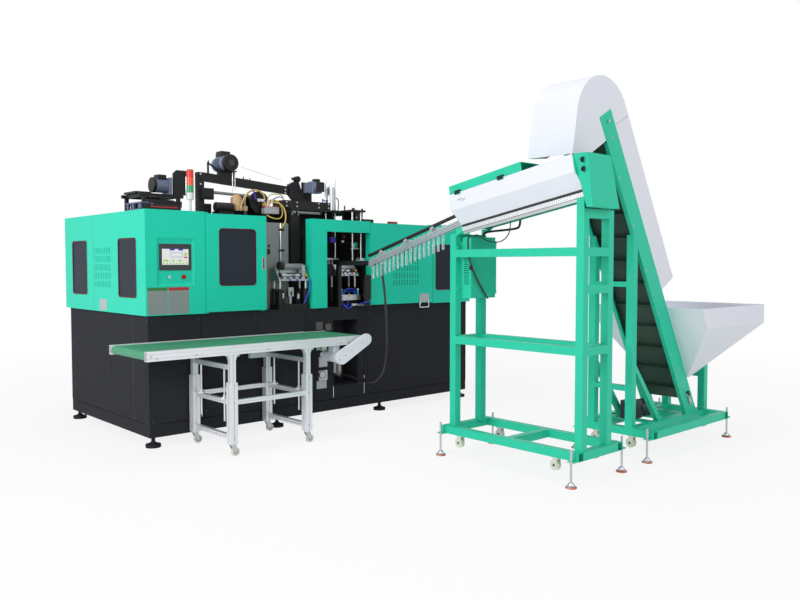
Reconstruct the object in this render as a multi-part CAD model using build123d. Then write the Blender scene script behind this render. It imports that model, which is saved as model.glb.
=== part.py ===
"""Linear bottle blow moulding machine with an outfeed belt conveyor and a preform loader.

Frame while modelling: X runs right along the machine's front, Y runs to the back, Z is up.
The datum is the base's front left corner on the floor. Everything is moved at the end so that
the origin is the centre of the whole footprint, on the floor.
"""
import os
from math import atan2, cos, degrees, pi, radians, sin, sqrt, tan

from build123d import *

# Machine base
OVEN_BAY_LENGTH = 1560.0
FEED_BAY_LENGTH = 630.0
BLOWING_BAY_LENGTH = 1582.0
BASE_LENGTH = OVEN_BAY_LENGTH + FEED_BAY_LENGTH + BLOWING_BAY_LENGTH
BASE_DEPTH = 1745.0
BASE_BOTTOM = 84.0
BED_TOP = 1088.0
BED_PLATE = 25.0
BASE_TUBE = 80.0
SKID_HEIGHT = 104.0
PANEL_SHEET = 3.0
DOOR_SEAM = 6.0
BAY_POST_X = (OVEN_BAY_LENGTH, OVEN_BAY_LENGTH + FEED_BAY_LENGTH)
RECESS_WIDTH = 310.0
RECESS_BOTTOM = 314.0
RECESS_TOP = 962.0
RECESS_DEPTH = 240.0
FILTER_PITCH = 62.0
FILTER_RISE = 190.0
FILTER_HEAD = 50.0
FILTER_BOWL = 86.0
SOCKET_PLATE = 14.0
SOCKET_PLATES = ((212.0, 566.0, 74.0), (102.0, 554.0, 66.0), (180.0, 206.0, 96.0), (180.0, 76.0, 96.0))
ISOLATOR_SET = (132.0, 386.0)
ISOLATOR_RADIUS = 30.0
RECEIVER_RADIUS = 50.0
RECEIVER_SET = 85.0
HOSE_BLOCK = 40.0
SIDE_STRIP = 296.0
BASE_DOOR_LEFT = 470.0
FOOT_PAD_RADIUS = 62.0
FOOT_PAD_HEIGHT = 26.0
FOOT_STEM_RADIUS = 16.0
FOOT_INSET = 52.0

# Guards over the bed
GUARD_OVERHANG = 30.0
GUARD_TOP = 1951.0
RIGHT_GUARD_TOP = 1937.0
GUARD_SHEET = 3.0
GUARD_FLANGE = 30.0
GUARD_POST = 40.0
PANEL_GAP = 4.0
CONTROL_PANEL_RIGHT = 500.0
LEFT_GUARD_RIGHT = 1105.0
SIDE_SEAM_Y = 1065.0
WINDOW_WIDTH = 362.0
WINDOW_HEIGHT = 492.0
WINDOW_BOTTOM = 1230.0
WINDOW_RADIUS = 28.0
PANE_THICKNESS = 5.0
PANE_MARGIN = 14.0
FRONT_WINDOW_X = 633.0
FRONT_WINDOW_RISE = 92.0
SIDE_WINDOW_Y = (145.0, 1217.0)
END_PANEL_WIDTH = 558.0
END_WINDOW_EDGE = 40.0
VENT_WIDTH = 376.0
VENT_HEIGHT = 350.0
VENT_BOTTOM = 1304.0
VENT_ROWS = 5
VENT_SLOTS = 10
VENT_SLOT_WIDTH = 9.0
VENT_ROW_GAP = 20.0
SIDE_VENT_Y = 668.0
VENT_EDGE = 209.0
HINGE_INSET_X = 12.0
HINGE_INSET_Y = 8.0
HINGE_PIN_RADIUS = 5.0
HINGE_LUG = 6.0
HINGE_LUG_REACH = 16.0
RUNNING_FIT = 0.06
HANDLE_WIDTH = 34.0
HANDLE_HEIGHT = 114.0
HANDLE_BOTTOM = 1457.0
HANDLE_DEPTH = 22.0
HANDLE_EDGE = 10.0
HANDLE_WALL = 2.0

# Operator panel
DISH_LEFT = 68.0
DISH_WIDTH = 338.0
DISH_BOTTOM = 1322.0
DISH_HEIGHT = 399.0
DISH_DEPTH = 10.0
DISH_CORNER = 14.0
BEZEL_RIM = 12.0
SCREEN_WIDTH = 283.0
SCREEN_HEIGHT = 218.0
SCREEN_LEFT = 90.0
SCREEN_BOTTOM = 1456.0
SCREEN_PROUD = 6.0
SCREEN_BODY = 42.0
BUTTON_Z = 1402.0
START_X = 173.0
STOP_X = 303.0
BUTTON_RADIUS = 13.0
STOP_RADIUS = 19.0
BUTTON_STEM = 8.0
BUTTON_CLEARANCE = 0.4
BUTTON_TRAVEL = 4.0
BUTTON_CAP = 9.0
BUTTON_SLEEVE = 18.0
BUTTON_SLEEVE_RADIUS = 15.0

# Right housing
RIGHT_COLUMN_LEFT = 1613.0
OPENING_LEFT = 1786.0
OPENING_RIGHT = 2327.0
OPENING_TOP = 1821.0
RIGHT_DOOR_RIGHT = BASE_LENGTH - END_PANEL_WIDTH
RIGHT_WINDOW_X = RIGHT_DOOR_RIGHT + END_WINDOW_EDGE
RIGHT_VENT_X = RIGHT_DOOR_RIGHT - VENT_EDGE - VENT_WIDTH
COLUMN_DEPTH = 106.0

# Blow station and transfer mechanisms on the bed
STATION_FRONT = 230.0
STATION_DEPTH = 200.0
STATION_PLATE_Z = 2030.0
STATION_PLATE = 20.0
STATION_BEAM_HEIGHT = 71.0
STATION_BEAM_X = (1474.0, 2027.0)
STATION_PLATE_X = (1546.0, 2445.0)
STATION_COLUMN = 102.0
BACK_PLATE_Y = 560.0
BACK_PLATE = 20.0
SHIELD_X = 1239.0
SHIELD_WIDTH = 246.0
SHIELD_DROP = 134.0
SHIELD_SHEET = 4.0
CARRIAGE_PLATE = 16.0
CARRIAGE_DEPTH = 150.0
CARRIAGE_CHEEK = 12.0
CARRIAGE_CHEEK_HEIGHT = 118.0
CARRIAGE_TRAVEL = 60.0
GUIDE_RADIUS = 11.0
GUIDE_HOUSING_RADIUS = 23.0
GUIDE_INSET = 26.0
BOTTLE_CARRIAGE_X = 1262.0
BOTTLE_CARRIAGE_Y = 5.0
BOTTLE_CARRIAGE_WIDTH = 340.0
BOTTLE_CARRIAGE_Z = 1353.0
PREFORM_CARRIAGE_X = 1976.0
PREFORM_CARRIAGE_Y = 60.0
PREFORM_CARRIAGE_WIDTH = 270.0
PREFORM_CARRIAGE_Z = 1392.0
CARRIAGES = (
    (BOTTLE_CARRIAGE_X, BOTTLE_CARRIAGE_Y, BOTTLE_CARRIAGE_WIDTH, BOTTLE_CARRIAGE_Z),
    (PREFORM_CARRIAGE_X, PREFORM_CARRIAGE_Y, PREFORM_CARRIAGE_WIDTH, PREFORM_CARRIAGE_Z),
)
HOUSING_TOP = 1280.0
SADDLE_HEIGHT = 46.0
CYLINDER_RADIUS = 46.0
CYLINDER_HEIGHT = 225.0
CYLINDER_X = 2100.0
ROD_RADIUS = 8.0
ROD_OFFSET = 60.0
ROD_TOP = 2380.0
STRETCH_PIN = 90.0
STRETCH_TRAVEL = 200.0
ROD_BOTTOM = HOUSING_TOP + STRETCH_PIN + STRETCH_TRAVEL
PRESS_ROD_X = (2176.0, 2286.0)
PRESS_ROD_Y = 70.0
PRESS_ROD_CLEAR = 32.0
PRESS_ROD_BOTTOM = PREFORM_CARRIAGE_Z + CARRIAGE_PLATE + CARRIAGE_TRAVEL + PRESS_ROD_CLEAR
PRESS_BLOCK = 70.0
RAIL_POST_X = 1950.0
RAIL_POST_Y = 5.0
RAIL_POST = 40.0
RAIL_ARM_HEIGHT = 44.0
PARTITION = 8.0
CLAMP_X = (2470.0, 3130.0)
CLAMP_Y = 260.0
CLAMP_PLATE_WIDTH = 420.0
CLAMP_PLATE_HEIGHT = 560.0
CLAMP_PLATE = 40.0
TIE_RADIUS = 20.0
TIE_INSET = 50.0
MOULD_WIDTH = 220.0
MOULD_HEIGHT = 330.0
MOULD_DEPTH = 90.0
MOULD_PLATEN = 36.0
MOULD_TRAVEL = 60.0
MOULD_CLOSED_GAP = 1.0
MOULD_BASE = 1230.0
RAM_RADIUS = 26.0
CAVITY_RADIUS = 42.0
CAVITY_BASE = 30.0
SHOULDER_DROP = 90.0
NECK_DROP = 24.0
NECK_RADIUS = 13.0

# Equipment above the guards
OVEN_X = (150.0, 560.0)
OVEN_Y = (470.0, 860.0)
OVEN_RAIL = 30.0
OVEN_RAIL_Z = 2096.0
OVEN_SHELF_Z = 1975.0
LAMP_BOX = 70.0
OVEN_PLATE_X = (470.0, 640.0)
OVEN_PLATE_TOP = 2345.0
OVEN_PLATE_CORNER = 30.0
LAMP_WALL = 10.0
FAN_MOTOR_RADIUS = 62.0
FAN_MOTOR_LENGTH = 150.0
ARM_POST_X = 668.0
ARM_POST = 60.0
ARM_Y = 400.0
ARM_THICKNESS = 44.0
ARM_HEIGHT = 78.0
ARM_LEFT_Z = 2298.0
ARM_RIGHT_X = 1640.0
ARM_RIGHT_Z = 2232.0
GEAR_MOTOR_X = 965.0
GEAR_MOTOR_Z = 2438.0
GEAR_MOTOR_RADIUS = 66.0
FAN_COVER_RADIUS = 75.0
GEAR_MOTOR_FRONT = 330.0
MOTOR_SEAT_WIDTH = 170.0
BOW_SET = 110.0
BOW_BAR = 14.0
BOW_RISE = 98.0
END_PLATE_RUN = 190.0
END_PLATE_RISE = 110.0
SERVO_SIZE = 96.0
SERVO_X = 1880.0
SERVO_Z = 2268.0
SERVO_FRONT = 205.0
SERVO_LENGTH = 225.0
TOWER_X = 396.0
TOWER_Y = 24.0
TOWER_RADIUS = 29.0
TOWER_LENS = 62.0
TOWER_TOP = 2300.0

# Outfeed conveyor
BELT_LEFT = -330.0
DECK_RIGHT = 1500.0
NOSE_RIGHT = 1735.0
DECK_WIDTH = 680.0
DECK_BASE_GAP = 20.0
DECK_FRONT = -DECK_WIDTH - DECK_BASE_GAP
DECK_TOP = 876.0
DECK_HEIGHT = 72.0
DECK_PROFILE = 40.0
SLOT_WIDTH = 8.0
SLOT_DEPTH = 7.0
ROLLER_RADIUS = 29.0
ROLLER_SHAFT = 10.0
BELT_THICKNESS = 3.0
BELT_SIDE_GAP = 5.0
BELT_SLACK = 0.4
LEG_X = (375.0, 1088.0)
LEG_INNER = 45.0
LEG_OUTER = 65.0
LEG_PLAY = 0.5
SLEEVE_BOTTOM = 108.0
SLEEVE_TOP = 582.0
LEG_ENGAGED = 200.0
HEIGHT_TRAVEL = 90.0
GUSSET = 42.0
TIE_BAR = 36.0
TIE_BAR_Z = 425.0
LOW_BAR_Z = 150.0
HIGH_BAR_Z = 700.0
SCREW_RADIUS = 7.0
SCREW_OFFSET = 95.0
SCREW_CLEAR = 4.0
SCREW_BOTTOM = LOW_BAR_Z + TIE_BAR / 2 + HEIGHT_TRAVEL + SCREW_CLEAR
HANDWHEEL_RADIUS = 34.0
CASTER_WHEEL_RADIUS = 34.0
CASTER_WHEEL_WIDTH = 24.0
CASTER_TRAIL = 24.0
CASTER_PLATE = 8.0
FORK_CHEEK = 4.0
FORK_SIDE_PLAY = 1.5
DRIVE_COVER_THICKNESS = 46.0
DRIVE_LOW_X = 1425.0
DRIVE_LOW_Z = 700.0
DRIVE_RADIUS = 62.0

# Preform loader stand
LOADER_X = (1650.0, 2190.0)
LOADER_Y = (-3000.0, -1710.0)
FRAME_TUBE = 60.0
FRAME_WALL = 3.0
FRAME_RAIL_TOP = 232.0
LOADER_POST_X = (1700.0, 2000.0)
LOADER_POST_Y = (-2990.0, -1810.0)
LOADER_POST_TOP = (1880.0, 1742.0)
SHELF_TOP = 942.0
UPPER_BAR_TOP = 1620.0
REAR_BAR_TOP = 1365.0
CROSS_MEMBER_Y = -2390.0
LOADER_GUSSET = 6.0
SCREW_FOOT_RADIUS = 8.0
SCREW_FOOT_PAD = 34.0
SCREW_FOOT_OFFSET = 42.0
SCREW_FOOT_TOP = 262.0
FOOT_BRACKET = 10.0
STAND_CASTER_RADIUS = 38.0
STAND_CASTER_WIDTH = 28.0
STAND_CASTER_INSET = 190.0
STAND_CASTER_PLATE = 6.0

# Control cabinet on the loader stand
CABINET_X = 1765.0
CABINET_WIDTH = 284.0
CABINET_DEPTH = 90.0
CABINET_BOTTOM = 1240.0
CABINET_HEIGHT = 480.0
CABINET_SHEET = 4.0
CABINET_LUG = 10.0
LOUVRE_ROWS = 14
LOUVRE_PITCH = 15.0

# Preform unscrambler, modelled level and then tilted about its lower left corner
TROUGH_PIVOT_Y = -1876.0
TROUGH_PIVOT_Z = 1758.0
TROUGH_SLOPE = 10.1
TROUGH_LENGTH = 1150.0
TROUGH_FRONT = 1612.0
TROUGH_TOE = 1700.0
TROUGH_BACK = 2010.0
TROUGH_HEIGHT = 350.0
TROUGH_BASE = 28.0
COVER_SET = 3.0
LID_LOW = 54.0
LID_FOLD = 162.0
LID_TOP = 275.0
LID_SHEET = 4.0
LID_GAP = 1.0
END_PLATE = 6.0
TROUGH_SHEET = 4.0
UNSCRAMBLER_RADIUS = 34.0
UNSCRAMBLER_GAP = 24.0
UNSCRAMBLER_Z = 140.0
COVER_LENGTH = 710.0
HOUSING_THICKNESS = 60.0
HOUSING_TOP_X = (1612.0, 1885.0)
HOUSING_LOW_X = (1680.0, 2000.0)
HOUSING_Z = (1884.0, 2236.0)
KNOB_RADIUS = 17.0
KNOB_DROPS = (46.0, 106.0)
LID_PIN_RADIUS = 4.0
HINGE_SPOTS = (-90.0, -520.0)

# Preform rail between the loader and the machine
RAIL_X = 1900.0
RAIL_LOW_Y = -539.0
RAIL_LOW_Z = 1540.0
RAIL_SLOPE = 16.0
RAIL_HEIGHT = 50.0
RAIL_THICKNESS = 10.0
RAIL_GAP = 24.0
HANGER_COUNT = 4
HANGER = 24.0
HANGER_RISE = 38.0
CONDUIT_RADIUS = 13.0
PREFORM_COUNT = 17
PREFORM_PITCH = 56.0
PREFORM_COLLAR = 17.0
PREFORM_LENGTH = 185.0
PREFORM_WALL = 3.0
PREFORM_NECK = 18.0
PREFORM_FLANGE = 2.5

# Inclined elevator
ELEVATOR_X = (2640.0, 3880.0)
ELEVATOR_Y = (-2990.0, -2290.0)
CASING_Y = (-2800.0, -2400.0)
CASING_ANGLE = 60.1
CASING_TOE_X = 3503.0
CASING_LENGTH = 2690.0
CASING_WIDTH = 160.0
CASING_PLATE = 5.0
CASING_FLANGE = 26.0
ELEVATOR_POST_Y = (-2800.0, -2460.0)
ELEVATOR_BAR_Z = (516.0, 1330.0)
BRACE_TOP = 740.0
BRACE_RUN = 420.0
HOPPER_BAR_TOP = 560.0
HOPPER_BAR = 40.0
PULLEY_RADIUS = 32.0
PULLEY_SHAFT = 12.0
PULLEY_END = 62.0
ELEVATOR_BELT = 4.0
BELT_EDGE_GAP = 14.0
CLEAT_HEIGHT = 30.0
CLEAT_THICKNESS = 6.0
CLEAT_COUNT = 12
ELEVATOR_MOTOR_X = 2900.0
MOTOR_BASE = 8.0

# Hood and hopper
HOOD_SHEET = 3.0
HOOD_BACK_SET = 45.0
HOOD_DOWN_SET = 8.0
HOOD_RADIUS = 330.0
HOOD_MOUTH_LEAN = 9.5
HOOD_MOUTH_DROP = 266.0
HOOD_CHUTE_SET = 156.0
HOOD_LOW_Z = 1400.0
HOOD_MOUTH_REACH = 190.0
HOPPER_SHEET = 3.0
HOPPER_TOP = 1152.0
HOPPER_BAND_Z = 990.0
HOPPER_LOW_Z = 545.0
HOPPER_RIGHT = 4310.0
HOPPER_WIDTH = 1000.0
HOPPER_THROAT = 46.0

# Hoses and cables, as the corner points of each run
HOSE_RADIUS = 11.0
HOSE_POINTS = (
    (1950.0, -640.0, 1506.0), (1950.0, -640.0, 1440.0), (1956.0, -660.0, 1330.0), (1962.0, -672.0, 1200.0),
    (1970.0, -676.0, 1060.0), (1979.0, -672.0, 920.0), (1990.0, -660.0, 780.0), (2003.0, -634.0, 650.0),
    (2018.0, -586.0, 530.0), (2034.0, -508.0, 440.0), (2049.0, -404.0, 388.0), (2063.0, -284.0, 372.0),
    (2074.0, -164.0, 376.0), (2081.0, -50.0, 388.0), (2083.0, 60.0, 396.0), (2083.0, 150.0, 396.0),
)
CABLE_RADIUS = 9.0
CABLE_POINTS = (
    (1960.0, -1865.0, 1720.0), (1960.0, -1865.0, 1752.0), (1966.0, -1896.0, 1762.0), (1976.0, -1970.0, 1768.0),
    (1984.0, -2060.0, 1772.0), (1988.0, -2160.0, 1778.0), (1988.0, -2215.0, 1790.0), (1988.0, -2215.0, 1842.0),
)
AIR_HOSE_RADIUS = 8.0
AIR_HOSE_POINTS = (
    (1120.0, 360.0, 2050.0), (1120.0, 360.0, 2110.0), (1138.0, 350.0, 2165.0), (1176.0, 338.0, 2198.0),
    (1232.0, 330.0, 2206.0), (1286.0, 326.0, 2188.0), (1318.0, 322.0, 2145.0), (1318.0, 322.0, 2092.0),
)

PARTS = {}


def add(node, *solids):
    """Keep solids under the node they belong to."""
    PARTS.setdefault(node, []).extend(solids)


def block(x, y, z):
    """Box between two limits on each axis."""
    size = (x[1] - x[0], y[1] - y[0], z[1] - z[0])
    middle = ((x[0] + x[1]) / 2, (y[0] + y[1]) / 2, (z[0] + z[1]) / 2)
    return Pos(*middle) * Box(*size)


def rod(axis, centre, start, end, radius):
    """Round bar along an axis; centre holds its two other coordinates in X, Y, Z order."""
    length = end - start
    middle = (start + end) / 2
    bar = Cylinder(radius, length)
    if axis == "X":
        return Pos(middle, centre[0], centre[1]) * Rot(0, 90, 0) * bar
    if axis == "Y":
        return Pos(centre[0], middle, centre[1]) * Rot(90, 0, 0) * bar
    return Pos(centre[0], centre[1], middle) * bar


def ring(axis, centre, start, end, outer, inner):
    """Round bar with a bore along it."""
    return rod(axis, centre, start, end, outer) - rod(axis, centre, start - 1, end + 1, inner)


def square_tube(axis, x, y, z, wall):
    """Hollow rectangular tube, open at both ends of its axis."""
    limits = {"X": list(x), "Y": list(y), "Z": list(z)}
    inner = {}
    for name, (low, high) in limits.items():
        step = -1 if name == axis else wall
        inner[name] = (low + step, high - step)
    return block(x, y, z) - block(inner["X"], inner["Y"], inner["Z"])


def slab_xz(points, y):
    """Flat piece cut to an outline in X and Z, from one Y to another."""
    face = make_face(Polyline(*[(px, y[0], pz) for px, pz in points], close=True))
    return extrude(face, amount=y[1] - y[0], dir=(0, 1, 0))


def slab_yz(points, x):
    """Flat piece cut to an outline in Y and Z, from one X to another."""
    face = make_face(Polyline(*[(x[0], py, pz) for py, pz in points], close=True))
    return extrude(face, amount=x[1] - x[0], dir=(1, 0, 0))


def folded(points, sheet):
    """Outline of a bent sheet: the given line, and the same line moved to its left by the sheet."""
    moved = []
    last = len(points) - 1
    for i, (x, z) in enumerate(points):
        before = points[max(i - 1, 0)]
        after = points[min(i + 1, last)]
        if i == 0:
            before = (2 * x - after[0], 2 * z - after[1])
        if i == last:
            after = (2 * x - before[0], 2 * z - before[1])
        a = atan2(z - before[1], x - before[0])
        b = atan2(after[1] - z, after[0] - x)
        half = (b - a) / 2
        turn = a + half + pi / 2
        reach = sheet / cos(half)
        moved.append((x + reach * cos(turn), z + reach * sin(turn)))
    return points + moved[::-1]


def rounded_cut(axis, across, z, depth, radius):
    """Cutter for a window with round corners, through a panel facing X or Y."""
    width = across[1] - across[0]
    height = z[1] - z[0]
    plane = Plane.XZ if axis == "Y" else Plane.YZ
    face = plane * RectangleRounded(width, height, radius)
    centre = (across[0] + across[1]) / 2
    middle = (z[0] + z[1]) / 2
    reach = depth[1] - depth[0]
    if axis == "Y":
        return Pos(centre, depth[0], middle) * extrude(face, amount=reach, dir=(0, 1, 0))
    return Pos(depth[0], centre, middle) * extrude(face, amount=reach, dir=(1, 0, 0))


def tray(axis, across, z, face_at, inward, sheet, flange):
    """Sheet panel with its four edges folded back; face_at is its outside, inward is +1 or -1."""
    back = face_at + inward * flange
    skin = face_at + inward * sheet
    lid_depth = (min(face_at, back), max(face_at, back))
    core_depth = (skin, back + 1) if inward > 0 else (back - 1, skin)
    inner_across = (across[0] + sheet, across[1] - sheet)
    inner_z = (z[0] + sheet, z[1] - sheet)
    if axis == "Y":
        return block(across, lid_depth, z) - block(inner_across, core_depth, inner_z)
    return block(lid_depth, across, z) - block(core_depth, inner_across, inner_z)


def vent_slots(start, bottom):
    """Limits of each upright slot in a block of rows, from its low corner."""
    pitch = VENT_WIDTH / VENT_SLOTS
    row_height = (VENT_HEIGHT - VENT_ROW_GAP * (VENT_ROWS - 1)) / VENT_ROWS
    for row in range(VENT_ROWS):
        low = bottom + row * (row_height + VENT_ROW_GAP)
        for column in range(VENT_SLOTS):
            left = start + pitch * (column + 0.5) - VENT_SLOT_WIDTH / 2
            yield (left, left + VENT_SLOT_WIDTH), (low, low + row_height)


def profile_bar(axis, x, y, z, slots):
    """Extruded aluminium bar; slots lists the faces that carry a groove, such as -Y or +Z."""
    bar = block(x, y, z)
    limits = {"X": x, "Y": y, "Z": z}
    for face, centre in slots:
        side, name = face[0], face[1]
        across = [n for n in "XYZ" if n not in (axis, name)][0]
        cut = {axis: (limits[axis][0] - 1, limits[axis][1] + 1)}
        cut[across] = (centre - SLOT_WIDTH / 2, centre + SLOT_WIDTH / 2)
        low, high = limits[name]
        cut[name] = (low - 1, low + SLOT_DEPTH) if side == "-" else (high - SLOT_DEPTH, high + 1)
        bar -= block(cut["X"], cut["Y"], cut["Z"])
    return bar


# Base frame: welded square tube with the bed plate on top and levelling feet under it
def build_base():
    skin = PANEL_SHEET
    x0, x1 = skin, BASE_LENGTH - skin
    y0, y1 = skin, BASE_DEPTH - skin
    tube = BASE_TUBE
    rail_top = BASE_BOTTOM + SKID_HEIGHT
    frame_top = BED_TOP - BED_PLATE
    head = frame_top - tube
    for y in ((y0, y0 + tube), (y1 - tube, y1)):
        add("base_frame", block((x0, x1), y, (BASE_BOTTOM, rail_top)))
        add("base_frame", block((x0, x1), y, (head, frame_top)))
        for left in (x0, *BAY_POST_X, x1 - tube):
            add("base_frame", block((left, left + tube), y, (rail_top, head)))
    for left in (x0, *BAY_POST_X, x1 - tube):
        add("base_frame", block((left, left + tube), (y0 + tube, y1 - tube), (head, frame_top)))
    for left in (x0, x1 - tube):
        add("base_frame", block((left, left + tube), (y0 + tube, y1 - tube), (BASE_BOTTOM, rail_top)))
    add("base_frame", block((0, BASE_LENGTH), (0, BASE_DEPTH), (frame_top, BED_TOP)))
    feet_x = (FOOT_INSET, BASE_LENGTH / 3, BASE_LENGTH * 2 / 3, BASE_LENGTH - FOOT_INSET)
    for x in feet_x:
        for y in (FOOT_INSET, BASE_DEPTH - FOOT_INSET):
            pad = rod("Z", (x, y), 0, FOOT_PAD_HEIGHT, FOOT_PAD_RADIUS)
            nut = rod("Z", (x, y), FOOT_PAD_HEIGHT, FOOT_PAD_HEIGHT + 16, FOOT_STEM_RADIUS + 10)
            stem = rod("Z", (x, y), FOOT_PAD_HEIGHT + 16, BASE_BOTTOM, FOOT_STEM_RADIUS)
            add("base_frame", pad + nut + stem)


# Base panels: flat steel sheets screwed to the frame, with one folded recess at the front
def build_base_panels():
    low = BASE_BOTTOM + SKID_HEIGHT + DOOR_SEAM
    high = BED_TOP - BED_PLATE
    seam = DOOR_SEAM / 2
    sheet = PANEL_SHEET
    recess_left = BAY_POST_X[1] - RECESS_WIDTH
    front_edges = (0.0, BASE_DOOR_LEFT, BAY_POST_X[0], recess_left)
    for left, right in zip(front_edges, front_edges[1:]):
        add("base_panels", block((left + seam, right - seam), (0, sheet), (low, high)))
    door_middle = (BASE_DOOR_LEFT + BAY_POST_X[0]) / 2
    inset = BASE_TUBE / 2
    for left, right in ((BASE_DOOR_LEFT, door_middle), (door_middle, BAY_POST_X[0])):
        door = block((left + inset / 2, right - inset / 2), (-sheet, 0), (low + inset, high - inset))
        add("base_panels", door)
    right_panel = BAY_POST_X[1] + BASE_TUBE
    add("base_panels", block((right_panel + seam, BASE_LENGTH - seam), (0, sheet), (low, high)))
    door = (right_panel + inset, BASE_LENGTH - inset)
    add("base_panels", block(door, (-sheet, 0), (low + inset, high - inset)))
    recess_x = (recess_left, BAY_POST_X[1])
    for z in ((low, RECESS_BOTTOM), (RECESS_TOP, high)):
        add("base_panels", block((recess_x[0] - seam + DOOR_SEAM, recess_x[1]), (0, sheet), z))
    box = block(recess_x, (sheet, RECESS_DEPTH), (RECESS_BOTTOM, RECESS_TOP))
    hollow = (recess_x[0] + sheet, recess_x[1] - sheet)
    box -= block(hollow, (0, RECESS_DEPTH - sheet), (RECESS_BOTTOM + sheet, RECESS_TOP - sheet))
    add("base_panels", box)
    for x in ((0, sheet), (BASE_LENGTH - sheet, BASE_LENGTH)):
        for y in ((sheet, SIDE_STRIP - seam), (SIDE_STRIP + seam, BASE_DEPTH - sheet)):
            add("base_panels", block(x, y, (low, high)))
    middle = BASE_LENGTH / 2
    for x in ((seam, middle - seam), (middle + seam, BASE_LENGTH - seam)):
        add("base_panels", block(x, (BASE_DEPTH - sheet, BASE_DEPTH), (low, high)))


# Air service unit: filter and regulator in the recess, with the plates of sockets beside it
def build_air_unit():
    recess_left = BAY_POST_X[1] - RECESS_WIDTH
    back = RECESS_DEPTH - PANEL_SHEET
    bowl_x = recess_left + RECESS_WIDTH * 0.3
    half = FILTER_HEAD / 2
    head_z = RECESS_BOTTOM + FILTER_RISE
    head_top = head_z + FILTER_HEAD
    rail = PANEL_SHEET * 3
    bracket_x = (bowl_x - half * 1.5, bowl_x + 2 * FILTER_PITCH + half * 1.5)
    add("air_service_unit", block(bracket_x, (back - rail, back), (head_z, head_top + rail)))
    front = back - rail - FILTER_HEAD * 1.5
    middle = (front + back - rail) / 2
    for i in range(3):
        x = bowl_x + i * FILTER_PITCH
        head = block((x - half, x + half), (front, back - rail), (head_z, head_top))
        bowl = rod("Z", (x, middle), head_z - FILTER_BOWL, head_z, half * 0.88)
        cap = rod("Z", (x, middle), head_top, head_top + half, half * 0.72)
        add("air_service_unit", head + bowl + cap)
    for left, rise, size in SOCKET_PLATES:
        x, z = recess_left - left, RECESS_BOTTOM + rise
        add("air_service_unit", block((x, x + size), (-SOCKET_PLATE, 0), (z, z + size)))
    x, z = recess_left - ISOLATOR_SET[0], RECESS_BOTTOM + ISOLATOR_SET[1]
    add("air_service_unit", rod("Y", (x, z), -ISOLATOR_RADIUS, 0, ISOLATOR_RADIUS))
    hx, hy, hz = HOSE_POINTS[-1]
    add("air_service_unit", rod("Y", (hx, hz), hy, back, HOSE_RADIUS * 1.5))
    half = HOSE_BLOCK / 2
    for gx, gy, gz in (AIR_HOSE_POINTS[0], AIR_HOSE_POINTS[-1]):
        shoulder = gz - HOSE_BLOCK
        post = half * 0.8
        add("air_service_unit", block((gx - half, gx + half), (gy - half, gy + half), (shoulder, gz)))
        add("air_service_unit", block((gx - post, gx + post), (gy - post, gy + post), (BED_TOP, shoulder)))
    gx, gy, gz = AIR_HOSE_POINTS[0]
    tank_x = gx - RECEIVER_SET
    radius = RECEIVER_RADIUS
    shoulder = gz + radius * 1.6
    tank = rod("Z", (tank_x, gy), gz - radius, shoulder, radius)
    tank += rod("Z", (tank_x, gy), shoulder, gz + radius * 2, radius * 0.64)
    strap_x = (tank_x + radius / 2, gx - half)
    tank += block(strap_x, (gy - half / 2, gy + half / 2), (gz - HOSE_BLOCK, gz - half / 2))
    add("air_service_unit", tank)


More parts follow.
